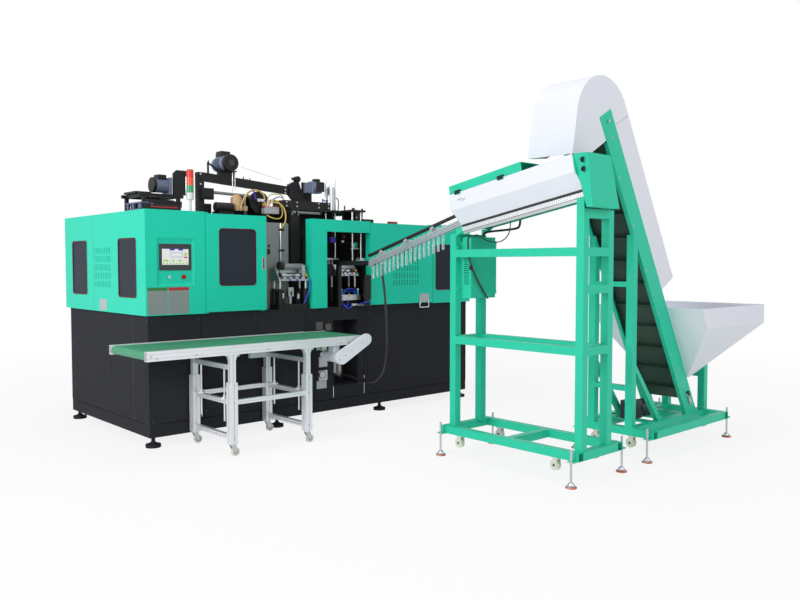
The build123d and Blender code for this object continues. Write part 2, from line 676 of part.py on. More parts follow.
# Guards: folded steel panels on square posts, open above the bed
def build_left_guard():
    out = -GUARD_OVERHANG
    post = GUARD_POST
    inner = out + GUARD_FLANGE
    back = BASE_DEPTH + GUARD_OVERHANG - GUARD_SHEET
    right = LEFT_GUARD_RIGHT
    rail = (GUARD_TOP - post - HINGE_LUG - PANEL_GAP, GUARD_TOP - HINGE_LUG - PANEL_GAP)
    post_x = (inner, CONTROL_PANEL_RIGHT - post, right - post)
    rear = BASE_DEPTH - post
    for x in post_x:
        for y in (inner, rear):
            add("left_guard", block((x, x + post), (y, y + post), (BED_TOP, rail[0])))
    for y in (inner, rear):
        add("left_guard", block((inner, right), (y, y + post), rail))
    seam_y = SIDE_SEAM_Y - post / 2
    add("left_guard", block((inner, inner + post), (seam_y, seam_y + post), (BED_TOP, rail[0])))
    add("left_guard", block((inner, inner + post), (inner + post, rear), rail))
    panel_x = (out, CONTROL_PANEL_RIGHT)
    panel = tray("Y", panel_x, (BED_TOP, GUARD_TOP), out, 1, GUARD_SHEET, GUARD_FLANGE)
    dish_x = (DISH_LEFT, DISH_LEFT + DISH_WIDTH)
    dish_z = (DISH_BOTTOM, DISH_BOTTOM + DISH_HEIGHT)
    panel -= rounded_cut("Y", dish_x, dish_z, (out - 1, out + GUARD_SHEET + 1), DISH_CORNER)
    dish = rounded_cut("Y", dish_x, dish_z, (out + GUARD_SHEET, out + DISH_DEPTH + GUARD_SHEET), DISH_CORNER)
    edge = GUARD_SHEET
    hollow_x = (dish_x[0] + edge, dish_x[1] - edge)
    hollow_z = (dish_z[0] + edge, dish_z[1] - edge)
    dish -= rounded_cut("Y", hollow_x, hollow_z, (out, out + DISH_DEPTH), DISH_CORNER - edge)
    floor = out + DISH_DEPTH
    screen_x = (SCREEN_LEFT, SCREEN_LEFT + SCREEN_WIDTH)
    screen_z = (SCREEN_BOTTOM, SCREEN_BOTTOM + SCREEN_HEIGHT)
    hole_x = (screen_x[0] + BEZEL_RIM, screen_x[1] - BEZEL_RIM)
    hole_z = (screen_z[0] + BEZEL_RIM, screen_z[1] - BEZEL_RIM)
    dish -= block(hole_x, (floor - 1, floor + GUARD_SHEET + 1), hole_z)
    bore = BUTTON_STEM + BUTTON_CLEARANCE
    skin = floor + GUARD_SHEET
    for x in (START_X, STOP_X):
        dish -= rod("Y", (x, BUTTON_Z), floor - 1, skin + 1, bore)
    add("left_guard", panel + dish)
    bezel = block(screen_x, (floor - SCREEN_PROUD, floor), screen_z)
    body_x = (hole_x[0] + 1, hole_x[1] - 1)
    body_z = (hole_z[0] + 1, hole_z[1] - 1)
    body = block(body_x, (floor, floor + SCREEN_BODY), body_z)
    add("touch_screen", bezel + body)
    front = floor - BUTTON_TRAVEL - 2
    buttons = ((START_X, BUTTON_RADIUS, "start_button"), (STOP_X, STOP_RADIUS, "emergency_stop"))
    for x, radius, node in buttons:
        centre = (x, BUTTON_Z)
        add("left_guard", ring("Y", centre, skin, skin + BUTTON_SLEEVE, BUTTON_SLEEVE_RADIUS, bore))
        cap = rod("Y", centre, front - BUTTON_CAP, front, radius)
        if node == "emergency_stop":
            cap += rod("Y", centre, front - BUTTON_CAP * 1.8, front - BUTTON_CAP, radius * 0.74)
        stem = rod("Y", centre, front, skin + BUTTON_SLEEVE - 2, BUTTON_STEM)
        add(node, cap + stem)
    rear_x = (out, right)
    top = (BED_TOP, GUARD_TOP)
    add("left_guard", tray("Y", rear_x, top, back + GUARD_SHEET, -1, GUARD_SHEET, GUARD_FLANGE))
    arm_x = (CONTROL_PANEL_RIGHT + PANEL_GAP, CONTROL_PANEL_RIGHT + HINGE_INSET_X + HINGE_LUG_REACH)
    pin = (CONTROL_PANEL_RIGHT + HINGE_INSET_X, out + HINGE_INSET_Y)
    for z in (BED_TOP, rail[1]):
        lug = block(arm_x, (out, inner + post), (z, z + HINGE_LUG))
        lug -= rod("Z", pin, z - 1, z + HINGE_LUG + 1, HINGE_PIN_RADIUS + RUNNING_FIT)
        add("left_guard", lug)


def hinged_door(node, x, pin_side, z, window, vents, handle_side):
    """Front door with folded edges, its pane or slots, a cup handle and two pivot pins."""
    out = -GUARD_OVERHANG
    door = tray("Y", x, z, out, 1, GUARD_SHEET, GUARD_FLANGE - PANEL_GAP / 2)
    if window:
        door -= rounded_cut("Y", window[0], window[1], (out - 1, out + GUARD_SHEET + 1), WINDOW_RADIUS)
    for slot_x, slot_z in vents:
        door -= block(slot_x, (out - 1, out + GUARD_SHEET + 1), slot_z)
    cup_left = x[1] - HANDLE_EDGE - HANDLE_WIDTH if handle_side > 0 else x[0] + HANDLE_EDGE
    cup_x = (cup_left, cup_left + HANDLE_WIDTH)
    cup_z = (HANDLE_BOTTOM, HANDLE_BOTTOM + HANDLE_HEIGHT)
    door -= block(cup_x, (out - 1, out + GUARD_SHEET + 1), cup_z)
    wall = HANDLE_WALL
    shell_x = (cup_x[0] - wall, cup_x[1] + wall)
    shell_z = (cup_z[0] - wall, cup_z[1] + wall)
    cup = block(shell_x, (out + GUARD_SHEET, out + HANDLE_DEPTH), shell_z)
    cup -= block(cup_x, (out, out + HANDLE_DEPTH - wall), cup_z)
    door += cup
    pin_x = x[0] + HINGE_INSET_X - PANEL_GAP if pin_side < 0 else x[1] - HINGE_INSET_X + PANEL_GAP
    pin = (pin_x, out + HINGE_INSET_Y)
    reach = PANEL_GAP + HINGE_LUG - 1
    for low, high in ((z[0] - reach, z[0] + GUARD_SHEET), (z[1] - GUARD_SHEET, z[1] + reach)):
        door += rod("Z", pin, low, high, HINGE_PIN_RADIUS)
    add(node, door)
    return pin


def build_left_doors():
    out = -GUARD_OVERHANG
    z = (BED_TOP + HINGE_LUG + PANEL_GAP, GUARD_TOP - HINGE_LUG - 2 * PANEL_GAP)
    x = (CONTROL_PANEL_RIGHT + PANEL_GAP, LEFT_GUARD_RIGHT)
    window_x = (FRONT_WINDOW_X, FRONT_WINDOW_X + WINDOW_WIDTH)
    window_low = WINDOW_BOTTOM + FRONT_WINDOW_RISE
    window_z = (window_low, window_low + WINDOW_HEIGHT)
    hinged_door("front_door", x, -1, z, (window_x, window_z), (), 1)
    pane_y = (out + GUARD_SHEET, out + GUARD_SHEET + PANE_THICKNESS)
    pane_x = (window_x[0] - PANE_MARGIN, window_x[1] + PANE_MARGIN)
    pane_z = (window_z[0] - PANE_MARGIN, window_z[1] + PANE_MARGIN)
    add("front_door_window", block(pane_x, pane_y, pane_z))


# Side panels: two lift-off panels on the left face, with windows and a block of slots
def build_side_panels():
    out = -GUARD_OVERHANG
    z = (BED_TOP, GUARD_TOP)
    back = BASE_DEPTH + GUARD_OVERHANG - GUARD_FLANGE
    half = PANEL_GAP / 2
    spans = ((out + GUARD_FLANGE, SIDE_SEAM_Y - half), (SIDE_SEAM_Y + half, back))
    for span, window_y in zip(spans, SIDE_WINDOW_Y):
        panel = tray("X", span, z, out, 1, GUARD_SHEET, GUARD_FLANGE)
        window = (window_y, window_y + WINDOW_WIDTH)
        height = (WINDOW_BOTTOM, WINDOW_BOTTOM + WINDOW_HEIGHT)
        panel -= rounded_cut("X", window, height, (out - 1, out + GUARD_SHEET + 1), WINDOW_RADIUS)
        if window_y == SIDE_WINDOW_Y[0]:
            for slot_y, slot_z in vent_slots(SIDE_VENT_Y, VENT_BOTTOM):
                panel -= block((out - 1, out + GUARD_SHEET + 1), slot_y, slot_z)
        add("side_panels", panel)
        pane_x = (out + GUARD_SHEET, out + GUARD_SHEET + PANE_THICKNESS)
        pane_y = (window[0] - PANE_MARGIN, window[1] + PANE_MARGIN)
        pane_z = (height[0] - PANE_MARGIN, height[1] + PANE_MARGIN)
        add("guard_windows", block(pane_x, pane_y, pane_z))


# Right housing: column, header, window panel, rear and end panels round the feed opening
def build_right_guard():
    out = -GUARD_OVERHANG
    inner = out + GUARD_FLANGE
    top = RIGHT_GUARD_TOP
    post = GUARD_POST
    end = BASE_LENGTH + GUARD_OVERHANG
    column_x = (RIGHT_COLUMN_LEFT, OPENING_LEFT)
    column = block(column_x, (out, out + COLUMN_DEPTH), (BED_TOP, top))
    hollow_x = (column_x[0] + GUARD_SHEET, column_x[1] - GUARD_SHEET)
    column -= block(hollow_x, (out + GUARD_SHEET, out + COLUMN_DEPTH + 1), (BED_TOP - 1, top + 1))
    add("right_guard", column)
    lintel = top - HINGE_LUG - PANEL_GAP - post
    header_x = (OPENING_LEFT, OPENING_RIGHT)
    add("right_guard", tray("Y", header_x, (OPENING_TOP, top), out, 1, GUARD_SHEET, GUARD_FLANGE))
    rail = (lintel, lintel + post)
    add("right_guard", block((OPENING_LEFT, end - GUARD_FLANGE), (inner, inner + post), rail))
    posts = (OPENING_RIGHT, RIGHT_DOOR_RIGHT + PANEL_GAP, end - GUARD_FLANGE - post)
    for x in posts:
        add("right_guard", block((x, x + post), (inner, inner + post), (BED_TOP, rail[0])))
    panel_x = (RIGHT_DOOR_RIGHT + PANEL_GAP, end)
    panel = tray("Y", panel_x, (BED_TOP, top), out, 1, GUARD_SHEET, GUARD_FLANGE)
    window_x = (RIGHT_WINDOW_X, RIGHT_WINDOW_X + WINDOW_WIDTH)
    window_z = (WINDOW_BOTTOM, WINDOW_BOTTOM + WINDOW_HEIGHT)
    panel -= rounded_cut("Y", window_x, window_z, (out - 1, out + GUARD_SHEET + 1), WINDOW_RADIUS)
    add("right_guard", panel)
    pane_x = (window_x[0] - PANE_MARGIN, window_x[1] + PANE_MARGIN)
    pane_z = (window_z[0] - PANE_MARGIN, window_z[1] + PANE_MARGIN)
    add("guard_windows", block(pane_x, (out + GUARD_SHEET, out + GUARD_SHEET + PANE_THICKNESS), pane_z))
    rear_out = BASE_DEPTH + GUARD_OVERHANG
    end_y = (inner, rear_out - GUARD_FLANGE)
    add("right_guard", tray("X", end_y, (BED_TOP, top), end, -1, GUARD_SHEET, GUARD_FLANGE))
    rear_x = (LEFT_GUARD_RIGHT + PANEL_GAP, end)
    middle = (rear_x[0] + rear_x[1]) / 2
    for x in ((rear_x[0], middle - PANEL_GAP / 2), (middle + PANEL_GAP / 2, rear_x[1])):
        add("right_guard", tray("Y", x, (BED_TOP, top), rear_out, -1, GUARD_SHEET, GUARD_FLANGE))
    pin = (RIGHT_DOOR_RIGHT - HINGE_INSET_X, out + HINGE_INSET_Y)
    for z in (BED_TOP, rail[1]):
        lug = block((pin[0] - HINGE_LUG_REACH, RIGHT_DOOR_RIGHT), (out, inner + post), (z, z + HINGE_LUG))
        lug -= rod("Z", pin, z - 1, z + HINGE_LUG + 1, HINGE_PIN_RADIUS + RUNNING_FIT)
        add("right_guard", lug)
    door_x = (OPENING_RIGHT + PANEL_GAP, RIGHT_DOOR_RIGHT - PANEL_GAP)
    door_z = (BED_TOP + HINGE_LUG + PANEL_GAP, top - HINGE_LUG - 2 * PANEL_GAP)
    vents = list(vent_slots(RIGHT_VENT_X, VENT_BOTTOM - (GUARD_TOP - RIGHT_GUARD_TOP)))
    hinged_door("right_door", door_x, 1, door_z, None, vents, -1)


# Blow station frame: columns, cross plate, back plates, partition, guide housings, rail post and clamp ends
def build_station():
    front = STATION_FRONT
    depth = (front, front + STATION_DEPTH)
    columns = (STATION_PLATE_X[0], STATION_PLATE_X[1] - STATION_COLUMN)
    for x in columns:
        add("station_frame", block((x, x + STATION_COLUMN), depth, (BED_TOP, STATION_PLATE_Z)))
    plate_top = STATION_PLATE_Z + STATION_PLATE
    plate = block(STATION_PLATE_X, depth, (STATION_PLATE_Z, plate_top))
    rod_y = front + STATION_DEPTH / 2
    beam = block(STATION_BEAM_X, depth, (plate_top, plate_top + STATION_BEAM_HEIGHT))
    clear = ROD_RADIUS + RUNNING_FIT
    beam_top = plate_top + STATION_BEAM_HEIGHT
    for side in (-1, 1):
        hole = rod("Z", (CYLINDER_X + side * ROD_OFFSET, rod_y), STATION_PLATE_Z - 1, beam_top + 1, clear)
        plate -= hole
        beam -= hole
    beam -= rod("Z", (CYLINDER_X, rod_y), plate_top - 1, beam_top + 1, CYLINDER_RADIUS)
    add("station_frame", plate, beam)
    shelf_x = (PRESS_ROD_X[0] - PRESS_BLOCK / 2, PRESS_ROD_X[1] + PRESS_BLOCK / 2)
    shelf_y = (PRESS_ROD_Y - PRESS_BLOCK / 2, front)
    add("station_frame", block(shelf_x, shelf_y, (STATION_PLATE_Z, plate_top)))
    back_y = (BACK_PLATE_Y, BACK_PLATE_Y + BACK_PLATE)
    for x in ((LEFT_GUARD_RIGHT, OPENING_LEFT), (OPENING_LEFT, OPENING_RIGHT)):
        add("station_frame", block(x, back_y, (BED_TOP, STATION_PLATE_Z)))
    partition_x = (OPENING_RIGHT, OPENING_RIGHT + PARTITION)
    add("station_frame", block(partition_x, (GUARD_POST, back_y[1]), (BED_TOP, STATION_PLATE_Z - SHIELD_DROP)))
    for carriage_x, carriage_y, width, _ in CARRIAGES:
        saddle_x = (carriage_x, carriage_x + width)
        saddle_y = (carriage_y, carriage_y + CARRIAGE_DEPTH)
        saddle_top = BED_TOP + SADDLE_HEIGHT
        add("station_frame", block(saddle_x, saddle_y, (BED_TOP, saddle_top)))
        for x in (saddle_x[0] + GUIDE_INSET, saddle_x[1] - GUIDE_INSET):
            for y in (saddle_y[0] + GUIDE_INSET, saddle_y[1] - GUIDE_INSET):
                bore = GUIDE_RADIUS + RUNNING_FIT
                housing = ring("Z", (x, y), saddle_top, HOUSING_TOP, GUIDE_HOUSING_RADIUS, bore)
                add("station_frame", housing)
    post_x = (RAIL_POST_X, RAIL_POST_X + RAIL_POST)
    post_y = (RAIL_POST_Y, RAIL_POST_Y + RAIL_POST)
    arm_z = (RAIL_LOW_Z - RAIL_ARM_HEIGHT, RAIL_LOW_Z)
    end_y = (RAIL_LOW_Y, RAIL_LOW_Y + RAIL_POST / 2)
    add("station_frame", block(post_x, post_y, (BED_TOP, arm_z[1])))
    add("station_frame", block(post_x, (end_y[1], post_y[0]), arm_z))
    add("station_frame", block((RAIL_X - RAIL_POST, post_x[1]), end_y, arm_z))
    clamp_y = (CLAMP_Y, CLAMP_Y + CLAMP_PLATE_WIDTH)
    clamp_top = BED_TOP + CLAMP_PLATE_HEIGHT
    ram = ((clamp_y[0] + clamp_y[1]) / 2, (BED_TOP + clamp_top) / 2)
    for x in ((CLAMP_X[0], CLAMP_X[0] + CLAMP_PLATE), (CLAMP_X[1] - CLAMP_PLATE, CLAMP_X[1])):
        plate = block(x, clamp_y, (BED_TOP, clamp_top))
        add("station_frame", plate - rod("X", ram, x[0] - 1, x[1] + 1, RAM_RADIUS + RUNNING_FIT))


# Fixed bright pieces: heat shield, tie bars, press rods with their block, and the press cylinder
def build_guides():
    shield_x = (SHIELD_X, SHIELD_X + SHIELD_WIDTH)
    shield_back = BOTTLE_CARRIAGE_Y + CARRIAGE_DEPTH + GUIDE_INSET
    shield_y = (shield_back, shield_back + SHIELD_SHEET)
    add("guide_rods", block(shield_x, shield_y, (BED_TOP, STATION_PLATE_Z - SHIELD_DROP)))
    clamp_y = (CLAMP_Y + TIE_INSET, CLAMP_Y + CLAMP_PLATE_WIDTH - TIE_INSET)
    clamp_z = (BED_TOP + TIE_INSET, BED_TOP + CLAMP_PLATE_HEIGHT - TIE_INSET)
    inside = (CLAMP_X[0] + CLAMP_PLATE, CLAMP_X[1] - CLAMP_PLATE)
    for y in clamp_y:
        for z in clamp_z:
            add("guide_rods", rod("X", (y, z), inside[0], inside[1], TIE_RADIUS))
    rod_y = STATION_FRONT + STATION_DEPTH / 2
    plate_top = STATION_PLATE_Z + STATION_PLATE
    top = plate_top + CYLINDER_HEIGHT
    cylinder = rod("Z", (CYLINDER_X, rod_y), plate_top, top, CYLINDER_RADIUS)
    cap = rod("Z", (CYLINDER_X, rod_y), top, top + 12, CYLINDER_RADIUS - 8)
    add("guide_rods", cylinder + cap)
    half = PRESS_BLOCK / 2
    left_x, right_x = PRESS_ROD_X
    left_rod = rod("Z", (left_x, PRESS_ROD_Y), PRESS_ROD_BOTTOM, STATION_PLATE_Z, ROD_RADIUS)
    right_rod = rod("Z", (right_x, PRESS_ROD_Y), PRESS_ROD_BOTTOM + half, STATION_PLATE_Z, ROD_RADIUS)
    block_y = (PRESS_ROD_Y - half, PRESS_ROD_Y + half)
    block_z = (PRESS_ROD_BOTTOM, PRESS_ROD_BOTTOM + PRESS_BLOCK)
    press_block = block((right_x - half, right_x + half), block_y, block_z)
    add("guide_rods", left_rod, right_rod + press_block)


def carriage(node, left, front, width, low):
    """Aluminium carriage on four guide rods that slide in the housings below it."""
    x = (left, left + width)
    y = (front, front + CARRIAGE_DEPTH)
    cheek = CARRIAGE_CHEEK
    body = block(x, y, (low, low + CARRIAGE_PLATE))
    cheek_top = low + CARRIAGE_CHEEK_HEIGHT
    for side in ((x[0], x[0] + cheek), (x[1] - cheek, x[1])):
        foot = low + CARRIAGE_PLATE
        body += slab_yz([(y[0], foot), (y[1], foot), (y[1], cheek_top), (y[0] + 70, cheek_top)], side)
    bridge_y = (y[1] - 40, y[1])
    body += block((x[0] + cheek, x[1] - cheek), bridge_y, (cheek_top - 46, cheek_top - 6))
    body += rod("X", ((y[0] + y[1]) / 2, low + 48), x[0] + cheek, x[1] - 60, 20)
    for gx in (x[0] + GUIDE_INSET, x[1] - GUIDE_INSET):
        for gy in (y[0] + GUIDE_INSET, y[1] - GUIDE_INSET):
            body += rod("Z", (gx, gy), BED_TOP + SADDLE_HEIGHT + 4, low, GUIDE_RADIUS)
    add(node, body)


def mould_half(node, side):
    """Moving platen with half a bottle mould; side -1 is the left half, +1 the right half."""
    middle = (CLAMP_X[0] + CLAMP_X[1]) / 2
    gap = MOULD_TRAVEL + MOULD_CLOSED_GAP / 2
    face = middle + side * gap
    back = face + side * MOULD_DEPTH
    rear = back + side * MOULD_PLATEN
    y_mid = CLAMP_Y + CLAMP_PLATE_WIDTH / 2
    mould_y = (y_mid - MOULD_WIDTH / 2, y_mid + MOULD_WIDTH / 2)
    z = (MOULD_BASE, MOULD_BASE + MOULD_HEIGHT)
    mould = block((min(face, back), max(face, back)), mould_y, z)
    r, neck = CAVITY_RADIUS, NECK_RADIUS
    low, high = z[0] + CAVITY_BASE, z[1]
    base_line = [(0, low), (r - 8, low), (r, low + 10), (r, high - SHOULDER_DROP)]
    neck_line = [(neck, high - NECK_DROP), (neck, high + 1), (0, high + 1)]
    profile = Polyline(*base_line, *neck_line, close=True)
    cavity = revolve(Plane.XZ * make_face(profile), axis=Axis.Z)
    mould -= Pos(face, y_mid, 0) * cavity
    platen_y = (CLAMP_Y, CLAMP_Y + CLAMP_PLATE_WIDTH)
    platen_z = (BED_TOP + 6, BED_TOP + CLAMP_PLATE_HEIGHT)
    platen = block((min(back, rear), max(back, rear)), platen_y, platen_z)
    bore = TIE_RADIUS + RUNNING_FIT
    for y in (platen_y[0] + TIE_INSET, platen_y[1] - TIE_INSET):
        for hole_z in (BED_TOP + TIE_INSET, BED_TOP + CLAMP_PLATE_HEIGHT - TIE_INSET):
            platen -= rod("X", (y, hole_z), min(back, rear) - 1, max(back, rear) + 1, bore)
    ram = (y_mid, BED_TOP + CLAMP_PLATE_HEIGHT / 2)
    end = CLAMP_X[0] - 28 if side < 0 else CLAMP_X[1] + 28
    platen += rod("X", ram, min(rear, end), max(rear, end), RAM_RADIUS)
    add(node, mould + platen)


def build_movers():
    for node, place in zip(("bottle_carriage", "preform_carriage"), CARRIAGES):
        carriage(node, *place)
    mould_half("left_mould_half", -1)
    mould_half("right_mould_half", 1)
    rod_y = STATION_FRONT + STATION_DEPTH / 2
    half = ROD_OFFSET + 24
    foot_y = (rod_y - 30, rod_y + 30)
    foot = block((CYLINDER_X - half, CYLINDER_X + half), foot_y, (ROD_BOTTOM - 18, ROD_BOTTOM))
    for side in (-1, 1):
        foot += rod("Z", (CYLINDER_X + side * ROD_OFFSET, rod_y), ROD_BOTTOM, ROD_TOP, ROD_RADIUS)
    for x in (CYLINDER_X - 20, CYLINDER_X + 20):
        foot += rod("Z", (x, rod_y), ROD_BOTTOM - STRETCH_PIN, ROD_BOTTOM - 18, 6)
    add("stretch_rods", foot)


# Heating oven frame over the left bed: legs, rails, lamp box and upright plate
def build_oven():
    rail = OVEN_RAIL
    x0, x1 = OVEN_X
    y0, y1 = OVEN_Y
    for x in (x0 + rail, x1 - 2 * rail):
        for y in (y0, y1 - rail):
            add("oven_frame", block((x, x + rail), (y, y + rail), (BED_TOP, OVEN_RAIL_Z)))
    for y in (y0, y1 - rail):
        add("oven_frame", block((x0, x1), (y, y + rail), (OVEN_RAIL_Z, OVEN_RAIL_Z + rail)))
        span = (x0 + 2 * rail, x1 - 2 * rail)
        add("oven_frame", block(span, (y, y + rail), (OVEN_SHELF_Z, OVEN_SHELF_Z + rail)))
    for x in (x0 + rail, x1 - 2 * rail):
        y = (y0 + rail, y1 - rail)
        add("oven_frame", block((x, x + rail), y, (OVEN_RAIL_Z, OVEN_RAIL_Z + rail)))
    lamp_z = (OVEN_SHELF_Z + rail, OVEN_SHELF_Z + rail + LAMP_BOX)
    lamp_x = (x0 + 3 * rail, x1 - 3 * rail)
    wall = LAMP_WALL
    lamp = block(lamp_x, (y0, y0 + LAMP_BOX), lamp_z)
    hollow_x = (lamp_x[0] + wall, lamp_x[1] - wall)
    lamp -= block(hollow_x, (y0 - 1, y0 + LAMP_BOX - wall), (lamp_z[0] + wall, lamp_z[1] - wall))
    add("oven_frame", lamp)
    plate_z = OVEN_RAIL_Z + rail
    corner = OVEN_PLATE_CORNER
    p0, p1 = OVEN_PLATE_X
    top = OVEN_PLATE_TOP
    outline = [(p0, plate_z), (p1, plate_z), (p1, top), (p0 + corner, top), (p0, top - corner)]
    add("oven_frame", slab_xz(outline, (y0, y0 + rail)))


# Drive arm above the guards: post, inclined belt housing, motor seat, bow handle and end plate
def build_drive_arm():
    post_x = (ARM_POST_X, ARM_POST_X + ARM_POST)
    y = (ARM_Y, ARM_Y + ARM_THICKNESS)
    half = ARM_HEIGHT / 2
    arm_start = ARM_POST_X + ARM_POST
    slope = (ARM_RIGHT_Z - ARM_LEFT_Z) / (ARM_RIGHT_X - arm_start)
    top = ARM_LEFT_Z + half
    add("drive_arm", block(post_x, (ARM_Y, ARM_Y + ARM_POST), (BED_TOP, top)))
    z_left, z_right = ARM_LEFT_Z, ARM_RIGHT_Z
    lower_edge = [(arm_start, z_left - half), (ARM_RIGHT_X, z_right - half)]
    upper_edge = [(ARM_RIGHT_X, z_right + half), (arm_start, z_left + half)]
    add("drive_arm", slab_xz(lower_edge + upper_edge, y))
    seat_x = (GEAR_MOTOR_X - MOTOR_SEAT_WIDTH / 2, GEAR_MOTOR_X + MOTOR_SEAT_WIDTH / 2)
    seat_low = [z_left + half + slope * (x - arm_start) for x in seat_x]
    seat_top = GEAR_MOTOR_Z - GEAR_MOTOR_RADIUS
    seat = [(seat_x[0], seat_low[0]), (seat_x[1], seat_low[1]), (seat_x[1], seat_top), (seat_x[0], seat_top)]
    add("drive_arm", slab_xz(seat, (ARM_Y, ARM_Y + ARM_THICKNESS)))
    seat_front = (GEAR_MOTOR_FRONT + 40, ARM_Y)
    add("drive_arm", block(seat_x, seat_front, (seat_top - 8, seat_top)))
    bar = BOW_BAR
    bow_x = (seat_x[0] - BOW_SET, seat_x[0] - BOW_SET + bar)
    bow_low = z_left + half + slope * (bow_x[0] - arm_start)
    bow_top = bow_low + BOW_RISE
    foot = [(bow_x[0], bow_low), (bow_x[1], bow_low + slope * bar)]
    foot += [(bow_x[1], bow_top + 1.5 * bar), (bow_x[0], bow_top)]
    bow_y = (ARM_Y + 10, ARM_Y + 10 + bar)
    add("drive_arm", slab_xz(foot, bow_y))
    bridge = [(bow_x[1], bow_top - bar), (seat_x[0], seat_top - bar)]
    bridge += [(seat_x[0], seat_top), (bow_x[1], bow_top)]
    add("drive_arm", slab_xz(bridge, bow_y))
    beam_top = STATION_PLATE_Z + STATION_PLATE + STATION_BEAM_HEIGHT
    end_low = [(ARM_RIGHT_X + 70, beam_top), (ARM_RIGHT_X + END_PLATE_RUN, beam_top)]
    end_high = [(ARM_RIGHT_X + 110, z_right + END_PLATE_RISE), (ARM_RIGHT_X, z_right + 60)]
    end = end_low + end_high + [(ARM_RIGHT_X, z_right - half)]
    station_back = STATION_FRONT + STATION_DEPTH
    add("drive_arm", slab_xz(end, (station_back - 40, station_back)))
    mount_y = SERVO_FRONT + SERVO_LENGTH
    mount_x = (SERVO_X - 60, SERVO_X + 60)
    add("drive_arm", block(mount_x, (mount_y, mount_y + 12), (beam_top - 30, SERVO_Z + 60)))


# Electric motors: drive arm gear motor, oven fan motor, servo and the elevator's gear motor
def build_motors():
    seat_top = GEAR_MOTOR_Z - GEAR_MOTOR_RADIUS
    x, z = GEAR_MOTOR_X, GEAR_MOTOR_Z
    front = GEAR_MOTOR_FRONT
    motor = rod("Y", (x, z), front, front + 95, FAN_COVER_RADIUS)
    motor += rod("Y", (x, z), front + 95, front + 250, GEAR_MOTOR_RADIUS)
    motor += block((x - 48, x + 20), (front + 120, front + 200), (z + 40, z + 96))
    motor -= block((x - 90, x + 90), (front - 1, front + 300), (z - 90, seat_top))
    add("drive_motors", motor)
    fan_x = OVEN_PLATE_X[0]
    plate_y = OVEN_Y[0] + OVEN_RAIL
    fan_z = OVEN_RAIL_Z + OVEN_RAIL + FAN_MOTOR_RADIUS + 16
    flange_z = (OVEN_RAIL_Z + OVEN_RAIL, fan_z + FAN_MOTOR_RADIUS + 10)
    flange = block((fan_x - 30, fan_x - 14), (plate_y - 24, plate_y + 140), flange_z)
    body = rod("X", (plate_y + 58, fan_z), fan_x - 14 - FAN_MOTOR_LENGTH, fan_x - 30, FAN_MOTOR_RADIUS)
    add("drive_motors", flange + body)
    half = SERVO_SIZE / 2
    servo_y = (SERVO_FRONT + 90, SERVO_FRONT + SERVO_LENGTH)
    servo = block((SERVO_X - half, SERVO_X + half), servo_y, (SERVO_Z - half, SERVO_Z + half))
    servo += rod("Y", (SERVO_X, SERVO_Z), SERVO_FRONT, SERVO_FRONT + 90, half + 4)
    add("drive_motors", servo)
    floor = FRAME_RAIL_TOP + MOTOR_BASE
    mx = ELEVATOR_MOTOR_X
    y = CASING_Y[0] + 150
    gearbox = block((mx, mx + 150), (y, y + 110), (floor, floor + 150))
    gearbox += rod("X", (y + 55, floor + 80), mx + 150, mx + 330, 62)
    gearbox += block((mx + 240, mx + 320), (y + 20, y + 90), (floor, floor + 60))
    add("drive_motors", gearbox)


# Signal tower: round foot, slim stem, and three lenses over a white body
def build_tower():
    centre = (TOWER_X, TOWER_Y)
    base = GUARD_TOP - HINGE_LUG - PANEL_GAP
    lens_low = TOWER_TOP - 3 * TOWER_LENS - 6
    foot = rod("Z", centre, base, base + 12, TOWER_RADIUS - 6)
    foot += rod("Z", centre, base + 12, lens_low - 60, 11)
    foot += rod("Z", centre, lens_low - 60, lens_low, TOWER_RADIUS)
    add("signal_tower", foot)
    for i in range(3):
        low = lens_low + i * TOWER_LENS
        add("signal_tower", rod("Z", centre, low, low + TOWER_LENS, TOWER_RADIUS))
    add("signal_tower", rod("Z", centre, TOWER_TOP - 6, TOWER_TOP, TOWER_RADIUS - 3))


